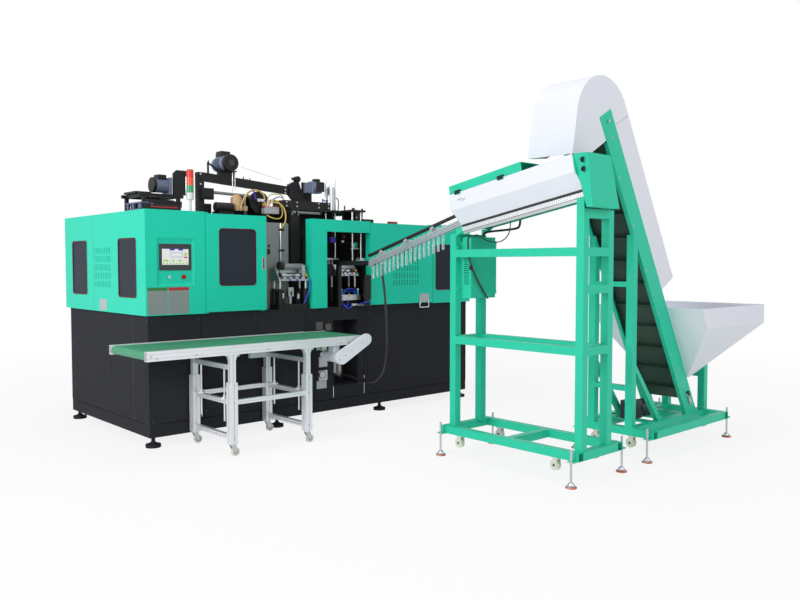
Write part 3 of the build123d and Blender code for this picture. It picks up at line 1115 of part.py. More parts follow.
# Conveyor deck: grooved side profiles, cross bars, slider bed, end brackets and upper legs
def build_conveyor_deck():
    front = DECK_FRONT
    back = DECK_FRONT + DECK_WIDTH
    z = (DECK_TOP - DECK_HEIGHT, DECK_TOP)
    inside = (front + DECK_PROFILE, back - DECK_PROFILE)
    belt_top = DECK_TOP - 5
    bed_z = (belt_top - BELT_THICKNESS - 6, belt_top - BELT_THICKNESS)
    axis_z = belt_top - BELT_THICKNESS - BELT_SLACK - ROLLER_RADIUS
    grooves = (z[0] + 20, z[0] + 52)
    bore = ROLLER_SHAFT + RUNNING_FIT
    tail_x = BELT_LEFT + ROLLER_RADIUS + BELT_THICKNESS + 1
    drive_x = NOSE_RIGHT - ROLLER_RADIUS - BELT_THICKNESS - 1
    for y, face in (((front, inside[0]), "-Y"), ((inside[1], back), "+Y")):
        bar = profile_bar("X", (BELT_LEFT, DECK_RIGHT), y, z, [(face, g) for g in grooves])
        bar -= rod("Y", (tail_x, axis_z), y[0] - 1, y[1] + 1, bore)
        add("conveyor_deck", bar)
        inner_y = (inside[0] - 10, inside[0]) if face == "-Y" else (inside[1], inside[1] + 10)
        bracket = block((DECK_RIGHT, NOSE_RIGHT - 6), inner_y, (z[0] + 4, z[1] - 2))
        bracket -= rod("Y", (drive_x, axis_z), y[0] - 1, y[1] + 1, bore)
        add("conveyor_deck", bracket)
    belt_y = (inside[0] + BELT_SIDE_GAP, inside[1] - BELT_SIDE_GAP)
    bed_x = (tail_x + ROLLER_RADIUS, drive_x - ROLLER_RADIUS - 10)
    add("conveyor_deck", block(bed_x, belt_y, bed_z))
    step = (DECK_RIGHT - BELT_LEFT) / 5
    for i in range(1, 5):
        x = BELT_LEFT + i * step
        add("conveyor_deck", block((x - 20, x + 20), inside, (bed_z[0] - 40, bed_z[0])))
    r_in = ROLLER_RADIUS + BELT_SLACK
    r_out = r_in + BELT_THICKNESS
    loop = block((tail_x, drive_x), belt_y, (axis_z - r_out, axis_z + r_out))
    hollow = block((tail_x, drive_x), (belt_y[0] - 1, belt_y[1] + 1), (axis_z - r_in, axis_z + r_in))
    for x in (tail_x, drive_x):
        loop += rod("Y", (x, axis_z), belt_y[0], belt_y[1], r_out)
        hollow += rod("Y", (x, axis_z), belt_y[0] - 1, belt_y[1] + 1, r_in)
    add("conveyor_belt", loop - hollow)
    for node, x in (("conveyor_tail_roller", tail_x), ("conveyor_drive_roller", drive_x)):
        roller = rod("Y", (x, axis_z), belt_y[0], belt_y[1], ROLLER_RADIUS)
        shaft_y = (front, back) if x == tail_x else (inside[0] - 9, inside[1] + 10)
        roller += rod("Y", (x, axis_z), shaft_y[0], shaft_y[1], ROLLER_SHAFT)
        add(node, roller)
    leg = LEG_INNER
    leg_z = (SLEEVE_TOP - LEG_ENGAGED, z[0])
    offset = (LEG_OUTER - LEG_INNER) / 2
    for x in LEG_X:
        span = (x - leg / 2, x + leg / 2)
        for y0 in (front + offset, back - offset - leg):
            y = (y0, y0 + leg)
            middle = y0 + leg / 2
            leg_slots = [("-Y", x), ("+Y", x), ("-X", middle), ("+X", middle)]
            add("conveyor_deck", profile_bar("Z", span, y, leg_z, leg_slots))
            for side in (-1, 1):
                edge = x + side * leg / 2
                tip = edge + side * GUSSET
                top_edge = [(edge, z[0]), (tip, z[0]), (tip, z[0] - 6)]
                low = z[0] - GUSSET
                low_edge = [(edge + side * 14, z[0] - 16), (edge + side * 6, low), (edge, low)]
                add("conveyor_deck", slab_xz(top_edge + low_edge, (y0 + 4, y0 + leg - 4)))
        bar_y = (front + offset + leg, back - offset - leg)
        bar_x = (x - TIE_BAR / 2, x + TIE_BAR / 2)
        bar_z = (HIGH_BAR_Z - TIE_BAR / 2, HIGH_BAR_Z + TIE_BAR / 2)
        bar_slots = [("-X", HIGH_BAR_Z), ("+X", HIGH_BAR_Z)]
        add("conveyor_deck", profile_bar("Y", bar_x, bar_y, bar_z, bar_slots))
        for y in (bar_y[0] + SCREW_OFFSET, bar_y[1] - SCREW_OFFSET):
            add("conveyor_deck", rod("Z", (x, y), SCREW_BOTTOM, bar_z[0], SCREW_RADIUS))


# Conveyor lower legs: grooved sleeves, tie bars, foot caps and the height handwheels
def build_conveyor_legs():
    front = DECK_FRONT
    back = DECK_FRONT + DECK_WIDTH
    outer = LEG_OUTER
    bore = LEG_INNER + 2 * LEG_PLAY
    z = (SLEEVE_BOTTOM, SLEEVE_TOP)
    leg_rows = ((front, front + outer), (back - outer, back))
    for x in LEG_X:
        span = (x - outer / 2, x + outer / 2)
        for y in leg_rows:
            middle = (y[0] + y[1]) / 2
            sleeve = profile_bar("Z", span, y, z, [("-Y", x), ("-X", middle)])
            bore_y = (middle - bore / 2, middle + bore / 2)
            sleeve -= block((x - bore / 2, x + bore / 2), bore_y, (z[0] - 1, z[1] + 1))
            add("conveyor_legs", sleeve)
            cap = block(span, y, (z[0] - CASTER_PLATE, z[0]))
            cap -= rod("Z", (x, middle), z[0] - CASTER_PLATE - 1, z[0] + 1, SCREW_RADIUS + RUNNING_FIT)
            add("conveyor_legs", cap)
        bar_y = (leg_rows[0][1], leg_rows[1][0])
        for level in (LOW_BAR_Z, TIE_BAR_Z):
            half = TIE_BAR / 2
            slots = [("-X", level), ("+X", level)]
            bar = profile_bar("Y", (x - half, x + half), bar_y, (level - half, level + half), slots)
            if level == TIE_BAR_Z:
                screw_rows = (front + outer - 10 + SCREW_OFFSET, back - outer + 10 - SCREW_OFFSET)
                for y in screw_rows:
                    clear = SCREW_RADIUS + LEG_PLAY
                    bar -= rod("Z", (x, y), level - half - 1, level + half + 1, clear)
                    wheel = ring("Z", (x, y), level + half, level + half + 10, HANDWHEEL_RADIUS, clear)
                    wheel += ring("Z", (x, y), level + half + 10, level + half + 26, SCREW_RADIUS + 7, clear)
                    add("conveyor_legs", wheel)
            add("conveyor_legs", bar)
    long_x = (LEG_X[0] + outer / 2, LEG_X[1] - outer / 2)
    for y in leg_rows:
        middle = (y[0] + y[1]) / 2
        bar_y = (middle - TIE_BAR / 2, middle + TIE_BAR / 2)
        bar_z = (TIE_BAR_Z - TIE_BAR / 2, TIE_BAR_Z + TIE_BAR / 2)
        slots = [("-Y", TIE_BAR_Z), ("+Y", TIE_BAR_Z)]
        add("conveyor_legs", profile_bar("X", long_x, bar_y, bar_z, slots))


def caster_centres():
    """Swivel axes of the four conveyor casters, front row first."""
    front = DECK_FRONT + LEG_OUTER / 2
    back = DECK_FRONT + DECK_WIDTH - LEG_OUTER / 2
    return [(x, y) for y in (front, back) for x in LEG_X]


# Conveyor casters: stemmed fork with two cheeks and an axle, and the wheel on it
def build_casters():
    top = SLEEVE_BOTTOM - CASTER_PLATE
    radius = CASTER_WHEEL_RADIUS
    half = CASTER_WHEEL_WIDTH / 2
    gap = 0.3
    plate_z = (top - 9, top - gap)
    for i, (x, y) in enumerate(caster_centres(), start=1):
        stem = rod("Z", (x, y), plate_z[0], SLEEVE_BOTTOM + 12, SCREW_RADIUS)
        head = rod("Z", (x, y), plate_z[0], plate_z[1], 26)
        head += rod("Z", (x, y), SLEEVE_BOTTOM + gap, SLEEVE_BOTTOM + 6, SCREW_RADIUS + 5)
        wheel_x = x + CASTER_TRAIL
        fork = stem + head
        inner = half + FORK_SIDE_PLAY
        for side in (-1, 1):
            cheek_y = (y + side * inner, y + side * (inner + FORK_CHEEK))
            cheek_y = (min(cheek_y), max(cheek_y))
            foot = radius - 10
            outline = [(x - 22, plate_z[0]), (x + 26, plate_z[0]), (wheel_x + 10, foot), (wheel_x - 10, foot)]
            fork += slab_xz(outline, cheek_y)
        fork += rod("Y", (wheel_x, radius), y - inner - FORK_CHEEK, y + inner + FORK_CHEEK, 6)
        add(f"caster_fork_{i}", fork)
        wheel = ring("Y", (wheel_x, radius), y - half, y + half, radius, 6 + RUNNING_FIT)
        add(f"caster_wheel_{i}", wheel)


# Conveyor drive: rounded cover over the belt drive, its motor and the control box below the deck
def build_drive_cover():
    belt_top = DECK_TOP - 5
    axis_z = belt_top - BELT_THICKNESS - BELT_SLACK - ROLLER_RADIUS
    drive_x = NOSE_RIGHT - ROLLER_RADIUS - BELT_THICKNESS - 1
    y1 = DECK_FRONT + DECK_PROFILE - 10
    y0 = DECK_FRONT - DRIVE_COVER_THICKNESS + 20
    dx, dz = drive_x - DRIVE_LOW_X, axis_z - DRIVE_LOW_Z
    tilt = degrees(atan2(dz, dx))
    length = sqrt(dx * dx + dz * dz)
    small = DRIVE_RADIUS * 0.82
    plate = Pos(DRIVE_LOW_X, y0, DRIVE_LOW_Z) * Rot(0, -tilt, 0)
    low_disc = rod("Y", (DRIVE_LOW_X, DRIVE_LOW_Z), y0, DECK_FRONT, DRIVE_RADIUS)
    high_disc = rod("Y", (drive_x, axis_z), y0, DECK_FRONT, small)
    sides = [(0, -DRIVE_RADIUS), (length, -small), (length, small), (0, DRIVE_RADIUS)]
    web = slab_xz(sides, (0, DECK_FRONT - y0))
    cover = low_disc + high_disc + plate * web
    add("conveyor_drive", cover)
    hub = rod("Y", (drive_x, axis_z), DECK_FRONT, y1, 24)
    add("conveyor_drive", hub)
    motor = rod("Y", (DRIVE_LOW_X, DRIVE_LOW_Z), DECK_FRONT, DECK_FRONT + 210, DRIVE_RADIUS - 12)
    bracket_z = (DRIVE_LOW_Z, DECK_TOP - DECK_HEIGHT - 8)
    motor += block((DRIVE_LOW_X - 34, DRIVE_LOW_X + 34), (DECK_FRONT + 60, DECK_FRONT + 130), bracket_z)
    add("conveyor_drive", motor)
    box_right = LEG_X[1] - LEG_INNER / 2
    box_z = HIGH_BAR_Z - 24
    back = DECK_FRONT + DECK_WIDTH - LEG_OUTER
    add("conveyor_drive", block((box_right - 160, box_right), (back + 14, back + 50), (box_z, box_z + 80)))


def stand_frame(node, x, y, cross):
    """Floor frame of square tube: two long rails and the cross rails between them."""
    tube = FRAME_TUBE
    z = (FRAME_RAIL_TOP - tube, FRAME_RAIL_TOP)
    for low in (x[0], x[1] - tube):
        add(node, square_tube("Y", (low, low + tube), y, z, FRAME_WALL))
    inner = (x[0] + tube, x[1] - tube)
    for low in (y[0], *cross, y[1] - tube):
        add(node, square_tube("X", inner, (low, low + tube), z, FRAME_WALL))


def stand_feet(x, y):
    """Screw feet on side brackets at the frame's corners, and the casters inboard of them."""
    z_low = FRAME_RAIL_TOP - FRAME_TUBE
    for side_x, edge in ((-1, x[0]), (1, x[1])):
        for fy in (y[0] + FRAME_TUBE / 2, y[1] - FRAME_TUBE / 2):
            fx = edge + side_x * SCREW_FOOT_OFFSET
            bracket_x = (min(edge, fx + side_x * 14), max(edge, fx + side_x * 14))
            plate = block(bracket_x, (fy - 24, fy + 24), (z_low, z_low + FOOT_BRACKET))
            bar = rod("Z", (fx, fy), 30, SCREW_FOOT_TOP, SCREW_FOOT_RADIUS)
            cone = Pos(fx, fy, 19) * Cone(SCREW_FOOT_PAD, SCREW_FOOT_RADIUS + 4, 22)
            pad = rod("Z", (fx, fy), 0, 8, SCREW_FOOT_PAD + 2)
            add("screw_feet", plate + bar + cone + pad)
    low, high = x[0] + FRAME_TUBE / 2, x[1] - FRAME_TUBE / 2
    for cx in (low, high):
        for cy in (y[0] + STAND_CASTER_INSET, y[1] - STAND_CASTER_INSET):
            half = STAND_CASTER_WIDTH / 2
            plate = block((cx - 34, cx + 34), (cy - 30, cy + 30), (z_low - STAND_CASTER_PLATE, z_low))
            axle_z = z_low - STAND_CASTER_PLATE - STAND_CASTER_RADIUS - 14
            wheel = rod("X", (cy + 20, axle_z), cx - half, cx + half, STAND_CASTER_RADIUS)
            yoke_z = (axle_z - 8, z_low - STAND_CASTER_PLATE)
            plate += block((cx - half - 5, cx - half), (cy - 6, cy + 30), yoke_z)
            plate += block((cx + half, cx + half + 5), (cy - 6, cy + 30), yoke_z)
            add("stand_casters", plate + wheel)


# Loader stand: floor frame, four posts, shelf and bars, all welded square tube
def build_loader_stand():
    tube = FRAME_TUBE
    wall = FRAME_WALL
    stand_frame("loader_frame", LOADER_X, LOADER_Y, (CROSS_MEMBER_Y,))
    stand_feet(LOADER_X, LOADER_Y)
    for px in LOADER_POST_X:
        for py, top in zip(LOADER_POST_Y, LOADER_POST_TOP):
            post = square_tube("Z", (px, px + tube), (py, py + tube), (FRAME_RAIL_TOP, top), wall)
            add("loader_frame", post)
    deep = (LOADER_POST_X[0] + tube, LOADER_POST_X[1])
    wide = (LOADER_POST_Y[0] + tube, LOADER_POST_Y[1])
    z = (SHELF_TOP - tube, SHELF_TOP)
    for px in LOADER_POST_X:
        add("loader_frame", square_tube("Y", (px, px + tube), wide, z, wall))
    for py in LOADER_POST_Y:
        add("loader_frame", square_tube("X", deep, (py, py + tube), z, wall))
    upper = (UPPER_BAR_TOP - tube, UPPER_BAR_TOP)
    add("loader_frame", square_tube("Y", (LOADER_POST_X[0], LOADER_POST_X[0] + tube), wide, upper, wall))
    back_levels = (REAR_BAR_TOP, UPPER_BAR_TOP, LOADER_POST_TOP[0])
    front_levels = (UPPER_BAR_TOP, LOADER_POST_TOP[1])
    for py, levels in zip(LOADER_POST_Y, (back_levels, front_levels)):
        for level in levels:
            add("loader_frame", square_tube("X", deep, (py, py + tube), (level - tube, level), wall))
    # Cheek plates under the trough carry it on the posts
    for px in LOADER_POST_X:
        py, top = LOADER_POST_Y[0], LOADER_POST_TOP[0]
        points = [(py, top), (py + tube, top), (py + tube, trough_floor(py + tube)), (py, trough_floor(py))]
        add("loader_frame", slab_yz(points, (px, px + LOADER_GUSSET)))
    left = LOADER_POST_Y[1]
    reach = TROUGH_PIVOT_Y - 60.0
    for px in LOADER_POST_X:
        cheek_x = (px, px + LOADER_GUSSET)
        near_y, near_z = tilted_point(0, TROUGH_BASE)
        points = [(left, LOADER_POST_TOP[1] - 20), (left, near_z), (near_y, near_z)]
        points.append((reach, trough_floor(reach)))
        add("loader_frame", slab_yz(points, cheek_x))


def trough_floor(y):
    """Height of the trough's underside at a given Y."""
    a = radians(TROUGH_SLOPE)
    return TROUGH_PIVOT_Z + TROUGH_BASE / cos(a) + (TROUGH_PIVOT_Y - y) * tan(a)


def tilt(shape):
    """Turn a piece of the level unscrambler into its sloping place."""
    place = Pos(0, TROUGH_PIVOT_Y, TROUGH_PIVOT_Z) * Rot(-TROUGH_SLOPE, 0, 0)
    return place * shape


def tilted_point(y, z):
    """World Y and Z of a point given in the level unscrambler."""
    a = radians(TROUGH_SLOPE)
    return (TROUGH_PIVOT_Y + y * cos(a) + z * sin(a), TROUGH_PIVOT_Z - y * sin(a) + z * cos(a))


# Unscrambler body: end plates, folded front lip, V floor sheets, back wall and top cover
def build_trough():
    length = TROUGH_LENGTH
    plate = END_PLATE
    t = TROUGH_SHEET
    front, toe, back = TROUGH_FRONT, TROUGH_TOE, TROUGH_BACK
    top = TROUGH_HEIGHT
    base = TROUGH_BASE
    crown = front + COVER_SET
    upper = [(back, top), (crown, top), (crown, LID_TOP + 8)]
    lower = [(back, LID_TOP), (front + 12, LID_TOP)]
    outline = [(front, LID_TOP - 6), (front, LID_FOLD), (toe, LID_LOW), (toe, base), (back, base)]
    offset = UNSCRAMBLER_RADIUS + UNSCRAMBLER_GAP / 2
    bore = PULLEY_SHAFT + RUNNING_FIT
    for y, crest in (((-plate, 0), upper), ((-length, -length + plate), lower)):
        end = slab_xz(outline + crest, y)
        for side in (-1, 1):
            end -= rod("Y", (RAIL_X + side * offset, UNSCRAMBLER_Z), y[0] - 1, y[1] + 1, bore)
        slot = (RAIL_X - UNSCRAMBLER_GAP / 2, RAIL_X + UNSCRAMBLER_GAP / 2)
        end -= block(slot, (y[0] - 1, y[1] + 1), (base - 1, UNSCRAMBLER_Z + 60))
        add("unscrambler_body", tilt(end))
    inside = (-length + plate, -plate)
    lip = block((toe, toe + 14), inside, (base, LID_LOW - LID_GAP))
    add("unscrambler_body", tilt(lip))
    rail = tilt(block((back - 14, back), inside, (base, LID_LOW)))
    gx, gy, gz = CABLE_POINTS[-1]
    gland = rod("Z", (gx, gy), gz, gz + 24, CABLE_RADIUS + 4)
    add("unscrambler_body", rail + gland)
    reach = offset + UNSCRAMBLER_RADIUS + 2
    floor_z = UNSCRAMBLER_Z + 12
    front_floor = folded([(toe + 24, UNSCRAMBLER_Z + 70), (RAIL_X - reach, floor_z)], t)
    back_floor = folded([(RAIL_X + reach, floor_z), (back - t, UNSCRAMBLER_Z + 60)], t)
    add("unscrambler_body", tilt(slab_xz(front_floor, inside)), tilt(slab_xz(back_floor, inside)))
    add("unscrambler_body", tilt(block((back - t, back), inside, (LID_LOW, LID_TOP))))
    cover_y = (-COVER_LENGTH, -plate)
    cover = folded([(crown, LID_TOP + 8), (crown, top), (back, top), (back, LID_TOP)], -t)
    cover = slab_xz(cover, cover_y)
    pin = (front - 3, LID_TOP + 3)
    for y in HINGE_SPOTS:
        cover += rod("Y", pin, y - 30, y + 30, 8)
    cover -= rod("Y", pin, cover_y[0], cover_y[1], LID_PIN_RADIUS + RUNNING_FIT)
    add("unscrambler_body", tilt(cover))
    rim = block((front + 6, front + 20), inside, (LID_TOP - 16, LID_TOP - LID_GAP - LID_SHEET))
    add("unscrambler_body", tilt(rim))
    for node, side in (("front_unscrambler_roller", -1), ("rear_unscrambler_roller", 1)):
        x = RAIL_X + side * offset
        body = rod("Y", (x, UNSCRAMBLER_Z), inside[0] + 2, inside[1] - 2, UNSCRAMBLER_RADIUS)
        body += rod("Y", (x, UNSCRAMBLER_Z), -length + 0.5, 0, PULLEY_SHAFT)
        add(node, tilt(body))


# Unscrambler lid: one folded sheet hinged along its top edge, with a latch knob
def build_lid():
    span = (-TROUGH_LENGTH + END_PLATE + LID_GAP, -END_PLATE - LID_GAP)
    front, toe = TROUGH_FRONT, TROUGH_TOE
    skin = [(toe - 2 * LID_GAP, LID_LOW), (front - LID_GAP, LID_FOLD), (front - LID_GAP, LID_TOP)]
    lid = slab_xz(folded(skin, LID_SHEET), span)
    pin = (front - 3, LID_TOP + 3)
    lid += rod("Y", pin, span[0], span[1], LID_PIN_RADIUS)
    for y in HINGE_SPOTS:
        notch = block((front - 20, front + 20), (y - 31, y + 31), (LID_TOP - 8, LID_TOP + 20))
        lid = (lid - notch) + rod("Y", pin, y - 32, y + 32, LID_PIN_RADIUS)
    lid += rod("X", (-130, LID_FOLD + 60), front - LID_GAP - LID_SHEET - 16, front - LID_GAP, KNOB_RADIUS)
    add("unscrambler_lid", tilt(lid))


# Unscrambler drive housing: green folded box over the roller drive at the high end
def build_housing():
    y_right = tilted_point(-TROUGH_LENGTH, 0)[0] - 2
    y0 = y_right - HOUSING_THICKNESS
    top_y, _ = tilted_point(-TROUGH_LENGTH, TROUGH_HEIGHT)
    (x0, x1), (x2, x3) = HOUSING_LOW_X, HOUSING_TOP_X
    z0, z1 = HOUSING_Z
    body = slab_xz([(x0, z0), (x1, z0), (x3, z1), (x2, z1)], (y0, top_y + 20))
    cut = Pos(0, TROUGH_PIVOT_Y, TROUGH_PIVOT_Z) * Rot(-TROUGH_SLOPE, 0, 0)
    body -= cut * block((x2 - 50, x1 + 50), (-TROUGH_LENGTH, 400), (-300, 700))
    for drop in KNOB_DROPS:
        z = z1 - drop
        x = x2 + (z1 - z) / (z1 - z0) * (x0 - x2)
        body += rod("X", (y0 + 34, z), x - 14, x + 10, KNOB_RADIUS)
    add("drive_housing", body)


# Preform rail: two sloping bars with hanger bridges and the conduit that runs along them
def rail_height(y):
    """Top of the rail bars at a given Y."""
    return RAIL_LOW_Z + (RAIL_LOW_Y - y) * tan(radians(RAIL_SLOPE))


def rail_end(lift):
    """Y and Z where the rail, moved up by lift, meets the unscrambler's end plate."""
    a, b = tan(radians(RAIL_SLOPE)), tan(radians(TROUGH_SLOPE))
    z = (RAIL_LOW_Z + lift + (RAIL_LOW_Y - TROUGH_PIVOT_Y) * a + TROUGH_PIVOT_Z * a * b) / (1 + a * b)
    return (TROUGH_PIVOT_Y + (z - TROUGH_PIVOT_Z) * b, z)


def build_rail():
    half_gap = RAIL_GAP / 2
    low_end, high_end = rail_end(-RAIL_HEIGHT), rail_end(0)
    y0, y1 = high_end[0], RAIL_LOW_Y
    for side in (-1, 1):
        x = (RAIL_X + side * half_gap, RAIL_X + side * (half_gap + RAIL_THICKNESS))
        x = (min(x), max(x))
        points = [low_end, (y1, rail_height(y1) - RAIL_HEIGHT), (y1, rail_height(y1)), high_end]
        add("preform_rail", slab_yz(points, x))
    span = y1 - y0
    slot = PREFORM_COLLAR + 1.5
    arm = slot + 10
    for i in range(HANGER_COUNT):
        y = y1 - span * (i + 0.5) / HANGER_COUNT
        z = rail_height(y)
        near, far = y - HANGER / 2, y + HANGER / 2
        top = z + HANGER_RISE
        points = [(near, rail_height(near)), (far, rail_height(far)), (far, top), (near, top)]
        bridge = slab_yz(points, (RAIL_X - arm, RAIL_X + arm))
        bridge -= block((RAIL_X - slot, RAIL_X + slot), (near - 1, far + 1), (z - 20, top - HANGER / 2))
        add("preform_rail", bridge)
    lift = HANGER_RISE + CONDUIT_RADIUS
    low, high = rail_height(y1 - 20) + lift, rail_height(y0 + 40) + lift
    length = sqrt((span - 60) ** 2 + (high - low) ** 2)
    centre = (RAIL_X, (y0 + 40 + y1 - 20) / 2, (low + high) / 2)
    a = degrees(atan2(high - low, span - 60))
    pipe = Pos(*centre) * Rot(90 - a, 0, 0) * Cylinder(CONDUIT_RADIUS, length)
    add("preform_rail", pipe)
    gx, gy, gz = HOSE_POINTS[0]
    side_x = RAIL_X + half_gap + RAIL_THICKNESS
    gland = rod("Z", (gx, gy), gz, gz + 34, HOSE_RADIUS + 5)
    gland += block((side_x, gx), (gy - 12, gy + 12), (gz + 14, gz + 34))
    add("preform_rail", gland)


# Preforms: clear tubes with a support collar that hang between the rails
def build_preforms():
    c, t = PREFORM_COLLAR, PREFORM_WALL
    low = -PREFORM_LENGTH
    r = RAIL_GAP / 2 - 1.5
    a = tan(radians(RAIL_SLOPE))
    neck = [(r - t, PREFORM_NECK), (r, PREFORM_NECK), (r, PREFORM_FLANGE), (c, PREFORM_FLANGE), (c, 0), (r, 0)]
    tip = [(r, low + r), (r * 0.7, low + r * 0.28), (0, low), (0, low + t), (r - t, low + r)]
    shape = Polyline(*neck, *tip, close=True)
    form = revolve(Plane.XZ * make_face(shape), axis=Axis.Z)
    for i in range(PREFORM_COUNT):
        y = RAIL_LOW_Y - 40 - i * PREFORM_PITCH
        z = rail_height(y) + sqrt(c * c - RAIL_GAP * RAIL_GAP / 4) * a + 0.2
        add("preforms", Pos(RAIL_X, y, z) * form)


# Control cabinet hung on the loader stand, with a hinged door and louvre slots in its side
def build_cabinet():
    x = (CABINET_X, CABINET_X + CABINET_WIDTH)
    back = LOADER_POST_Y[1]
    y = (back - CABINET_LUG - CABINET_DEPTH, back - CABINET_LUG)
    z = (CABINET_BOTTOM, CABINET_BOTTOM + CABINET_HEIGHT)
    t = CABINET_SHEET
    body = block(x, y, z)
    body -= block((x[0] + t, x[1] - t), (y[0] - 1, y[1] - t), (z[0] + t, z[1] - t))
    for row in range(LOUVRE_ROWS):
        level = z[0] + 110 + row * LOUVRE_PITCH
        body -= block((x[0] - 1, x[0] + t + 1), (y[0] + 18, y[1] - 18), (level, level + LOUVRE_PITCH / 3))
    strap_x = (LOADER_POST_X[0] + 10, LOADER_POST_X[1] + FRAME_TUBE - 10)
    for level in (z[0] + 60, z[1] - 98):
        body += block(strap_x, (y[1], back), (level, level + 28))
    pin = (x[1] + 7, y[0] - 3)
    lugs = (z[0] + 30, z[1] - 60)
    for level in lugs:
        lug = block((x[1], x[1] + 14), (pin[1], y[0] + 14), (level, level + 30))
        lug += rod("Z", pin, level, level + 30, 7)
        body += lug - rod("Z", pin, level - 1, level + 31, HINGE_PIN_RADIUS + RUNNING_FIT)
    add("control_cabinet", body)
    door = block((x[0], x[1] - LID_GAP), (y[0] - t - LID_GAP, y[0] - LID_GAP), z)
    door += block((x[1] - 20, x[1] + 11), (y[0] - t - LID_GAP, y[0] - LID_GAP), (lugs[0] + 31, lugs[1] - 1))
    door += rod("Z", pin, lugs[0] + 2, lugs[1] + 28, HINGE_PIN_RADIUS)
    door += rod("Y", (x[0] + 24, (z[0] + z[1]) / 2), y[0] - t - 12, y[0] - t, KNOB_RADIUS)
    add("cabinet_door", door)


def casing_point(s, n):
    """X and Z of a point on the casing, s up its slope and n out from its underside."""
    a = radians(CASING_ANGLE)
    return (CASING_TOE_X - s * cos(a) + n * sin(a), FRAME_RAIL_TOP + s * sin(a) + n * cos(a))


def casing_patch(s, n):
    """Corners of a rectangle on the casing, between two distances up it and two out from it."""
    corners = ((s[0], n[0]), (s[0], n[1]), (s[1], n[1]), (s[1], n[0]))
    return [casing_point(*corner) for corner in corners]


def on_slope(n, z):
    """Point on the casing line at offset n that has height z."""
    a = radians(CASING_ANGLE)
    along = (z - FRAME_RAIL_TOP - n * cos(a)) / sin(a)
    return casing_point(along, n)


# Elevator stand: floor frame, posts cut to the casing's slope, bars and braces
def build_elevator_stand():
    tube = FRAME_TUBE
    x, y = ELEVATOR_X, ELEVATOR_Y
    stand_frame("elevator_frame", x, y, ELEVATOR_POST_Y)
    stand_feet(x, y)
    post_x = (x[0], x[0] + tube)
    a = radians(CASING_ANGLE)
    for py in ELEVATOR_POST_Y:
        left_z = FRAME_RAIL_TOP + (CASING_TOE_X - post_x[0]) * tan(a)
        right_z = FRAME_RAIL_TOP + (CASING_TOE_X - post_x[1]) * tan(a)
        base = FRAME_RAIL_TOP
        outline = [(post_x[0], base), (post_x[1], base), (post_x[1], right_z), (post_x[0], left_z)]
        add("elevator_frame", slab_xz(outline, (py, py + tube)))
        brace_end = post_x[1] + BRACE_RUN
        brace_low = [(post_x[1], BRACE_TOP - tube), (brace_end - tube, base)]
        brace = [(post_x[1], BRACE_TOP), *brace_low, (brace_end, base)]
        add("elevator_frame", slab_xz(brace, (py + 10, py + tube - 10)))
    between = (ELEVATOR_POST_Y[0] + tube, ELEVATOR_POST_Y[1])
    for level in ELEVATOR_BAR_Z:
        add("elevator_frame", square_tube("Y", post_x, between, (level, level + HOPPER_BAR), FRAME_WALL))
    end_x = (x[1] - tube, x[1])
    for py in ELEVATOR_POST_Y:
        tops = [hopper_slope(px) for px in end_x]
        outline = [(end_x[0], base), (end_x[1], base), (end_x[1], tops[1]), (end_x[0], tops[0])]
        add("elevator_frame", slab_xz(outline, (py, py + tube)))
    bar_z = (HOPPER_BAR_TOP - HOPPER_BAR, HOPPER_BAR_TOP)
    add("elevator_frame", square_tube("Y", end_x, between, bar_z, FRAME_WALL))
    base_y = (ELEVATOR_POST_Y[0] + 10, ELEVATOR_POST_Y[1] + tube - 10)
    base_z = (FRAME_RAIL_TOP, FRAME_RAIL_TOP + MOTOR_BASE)
    base_x = (ELEVATOR_MOTOR_X + 230, ELEVATOR_MOTOR_X + 340)
    for low_x in (ELEVATOR_MOTOR_X, base_x[0]):
        add("elevator_frame", block((low_x, low_x + 110), base_y, base_z))
    toe = casing_point(0, 0)[0]
    seat_x = (toe, toe + CASING_WIDTH / sin(a))
    low = FRAME_RAIL_TOP - tube
    seat_y = (ELEVATOR_POST_Y[0] + tube, ELEVATOR_POST_Y[1])
    add("elevator_frame", block((seat_x[0], seat_x[0] + 80), seat_y, (low, FRAME_RAIL_TOP)))


# Elevator casing: two channel side plates, closed by tie bars
def build_casing():
    t = CASING_PLATE
    flange = CASING_FLANGE
    end = CASING_LENGTH
    low_left = casing_point(0, 0)
    low_right = on_slope(CASING_WIDTH, FRAME_RAIL_TOP)
    high_left, high_right = casing_point(end, 0), casing_point(end, CASING_WIDTH)
    outline = [low_left, low_right, high_right, high_left]
    bore = PULLEY_SHAFT + RUNNING_FIT
    mid_n = CASING_WIDTH / 2
    shafts = [casing_point(s, mid_n) for s in (pulley_low(), end - PULLEY_END)]
    for wall, fold in (((CASING_Y[0], CASING_Y[0] + t), 1), ((CASING_Y[1] - t, CASING_Y[1]), -1)):
        plate = slab_xz(outline, wall)
        inner = wall[1] if fold > 0 else wall[0] - flange
        strip = (inner, inner + flange)
        reach = end - HOOD_MOUTH_REACH - 10
        lower = [low_left, on_slope(t, FRAME_RAIL_TOP), casing_point(reach, t), casing_point(reach, 0)]
        plate += slab_xz(lower, strip)
        for sx, sz in shafts:
            plate -= rod("Y", (sx, sz), wall[0] - 1, wall[1] + 1, bore)
        add("elevator_casing", plate)


def pulley_low():
    """Distance up the slope of the tail pulley's axis."""
    return PULLEY_END + CASING_WIDTH / 2 / tan(radians(CASING_ANGLE)) + 40


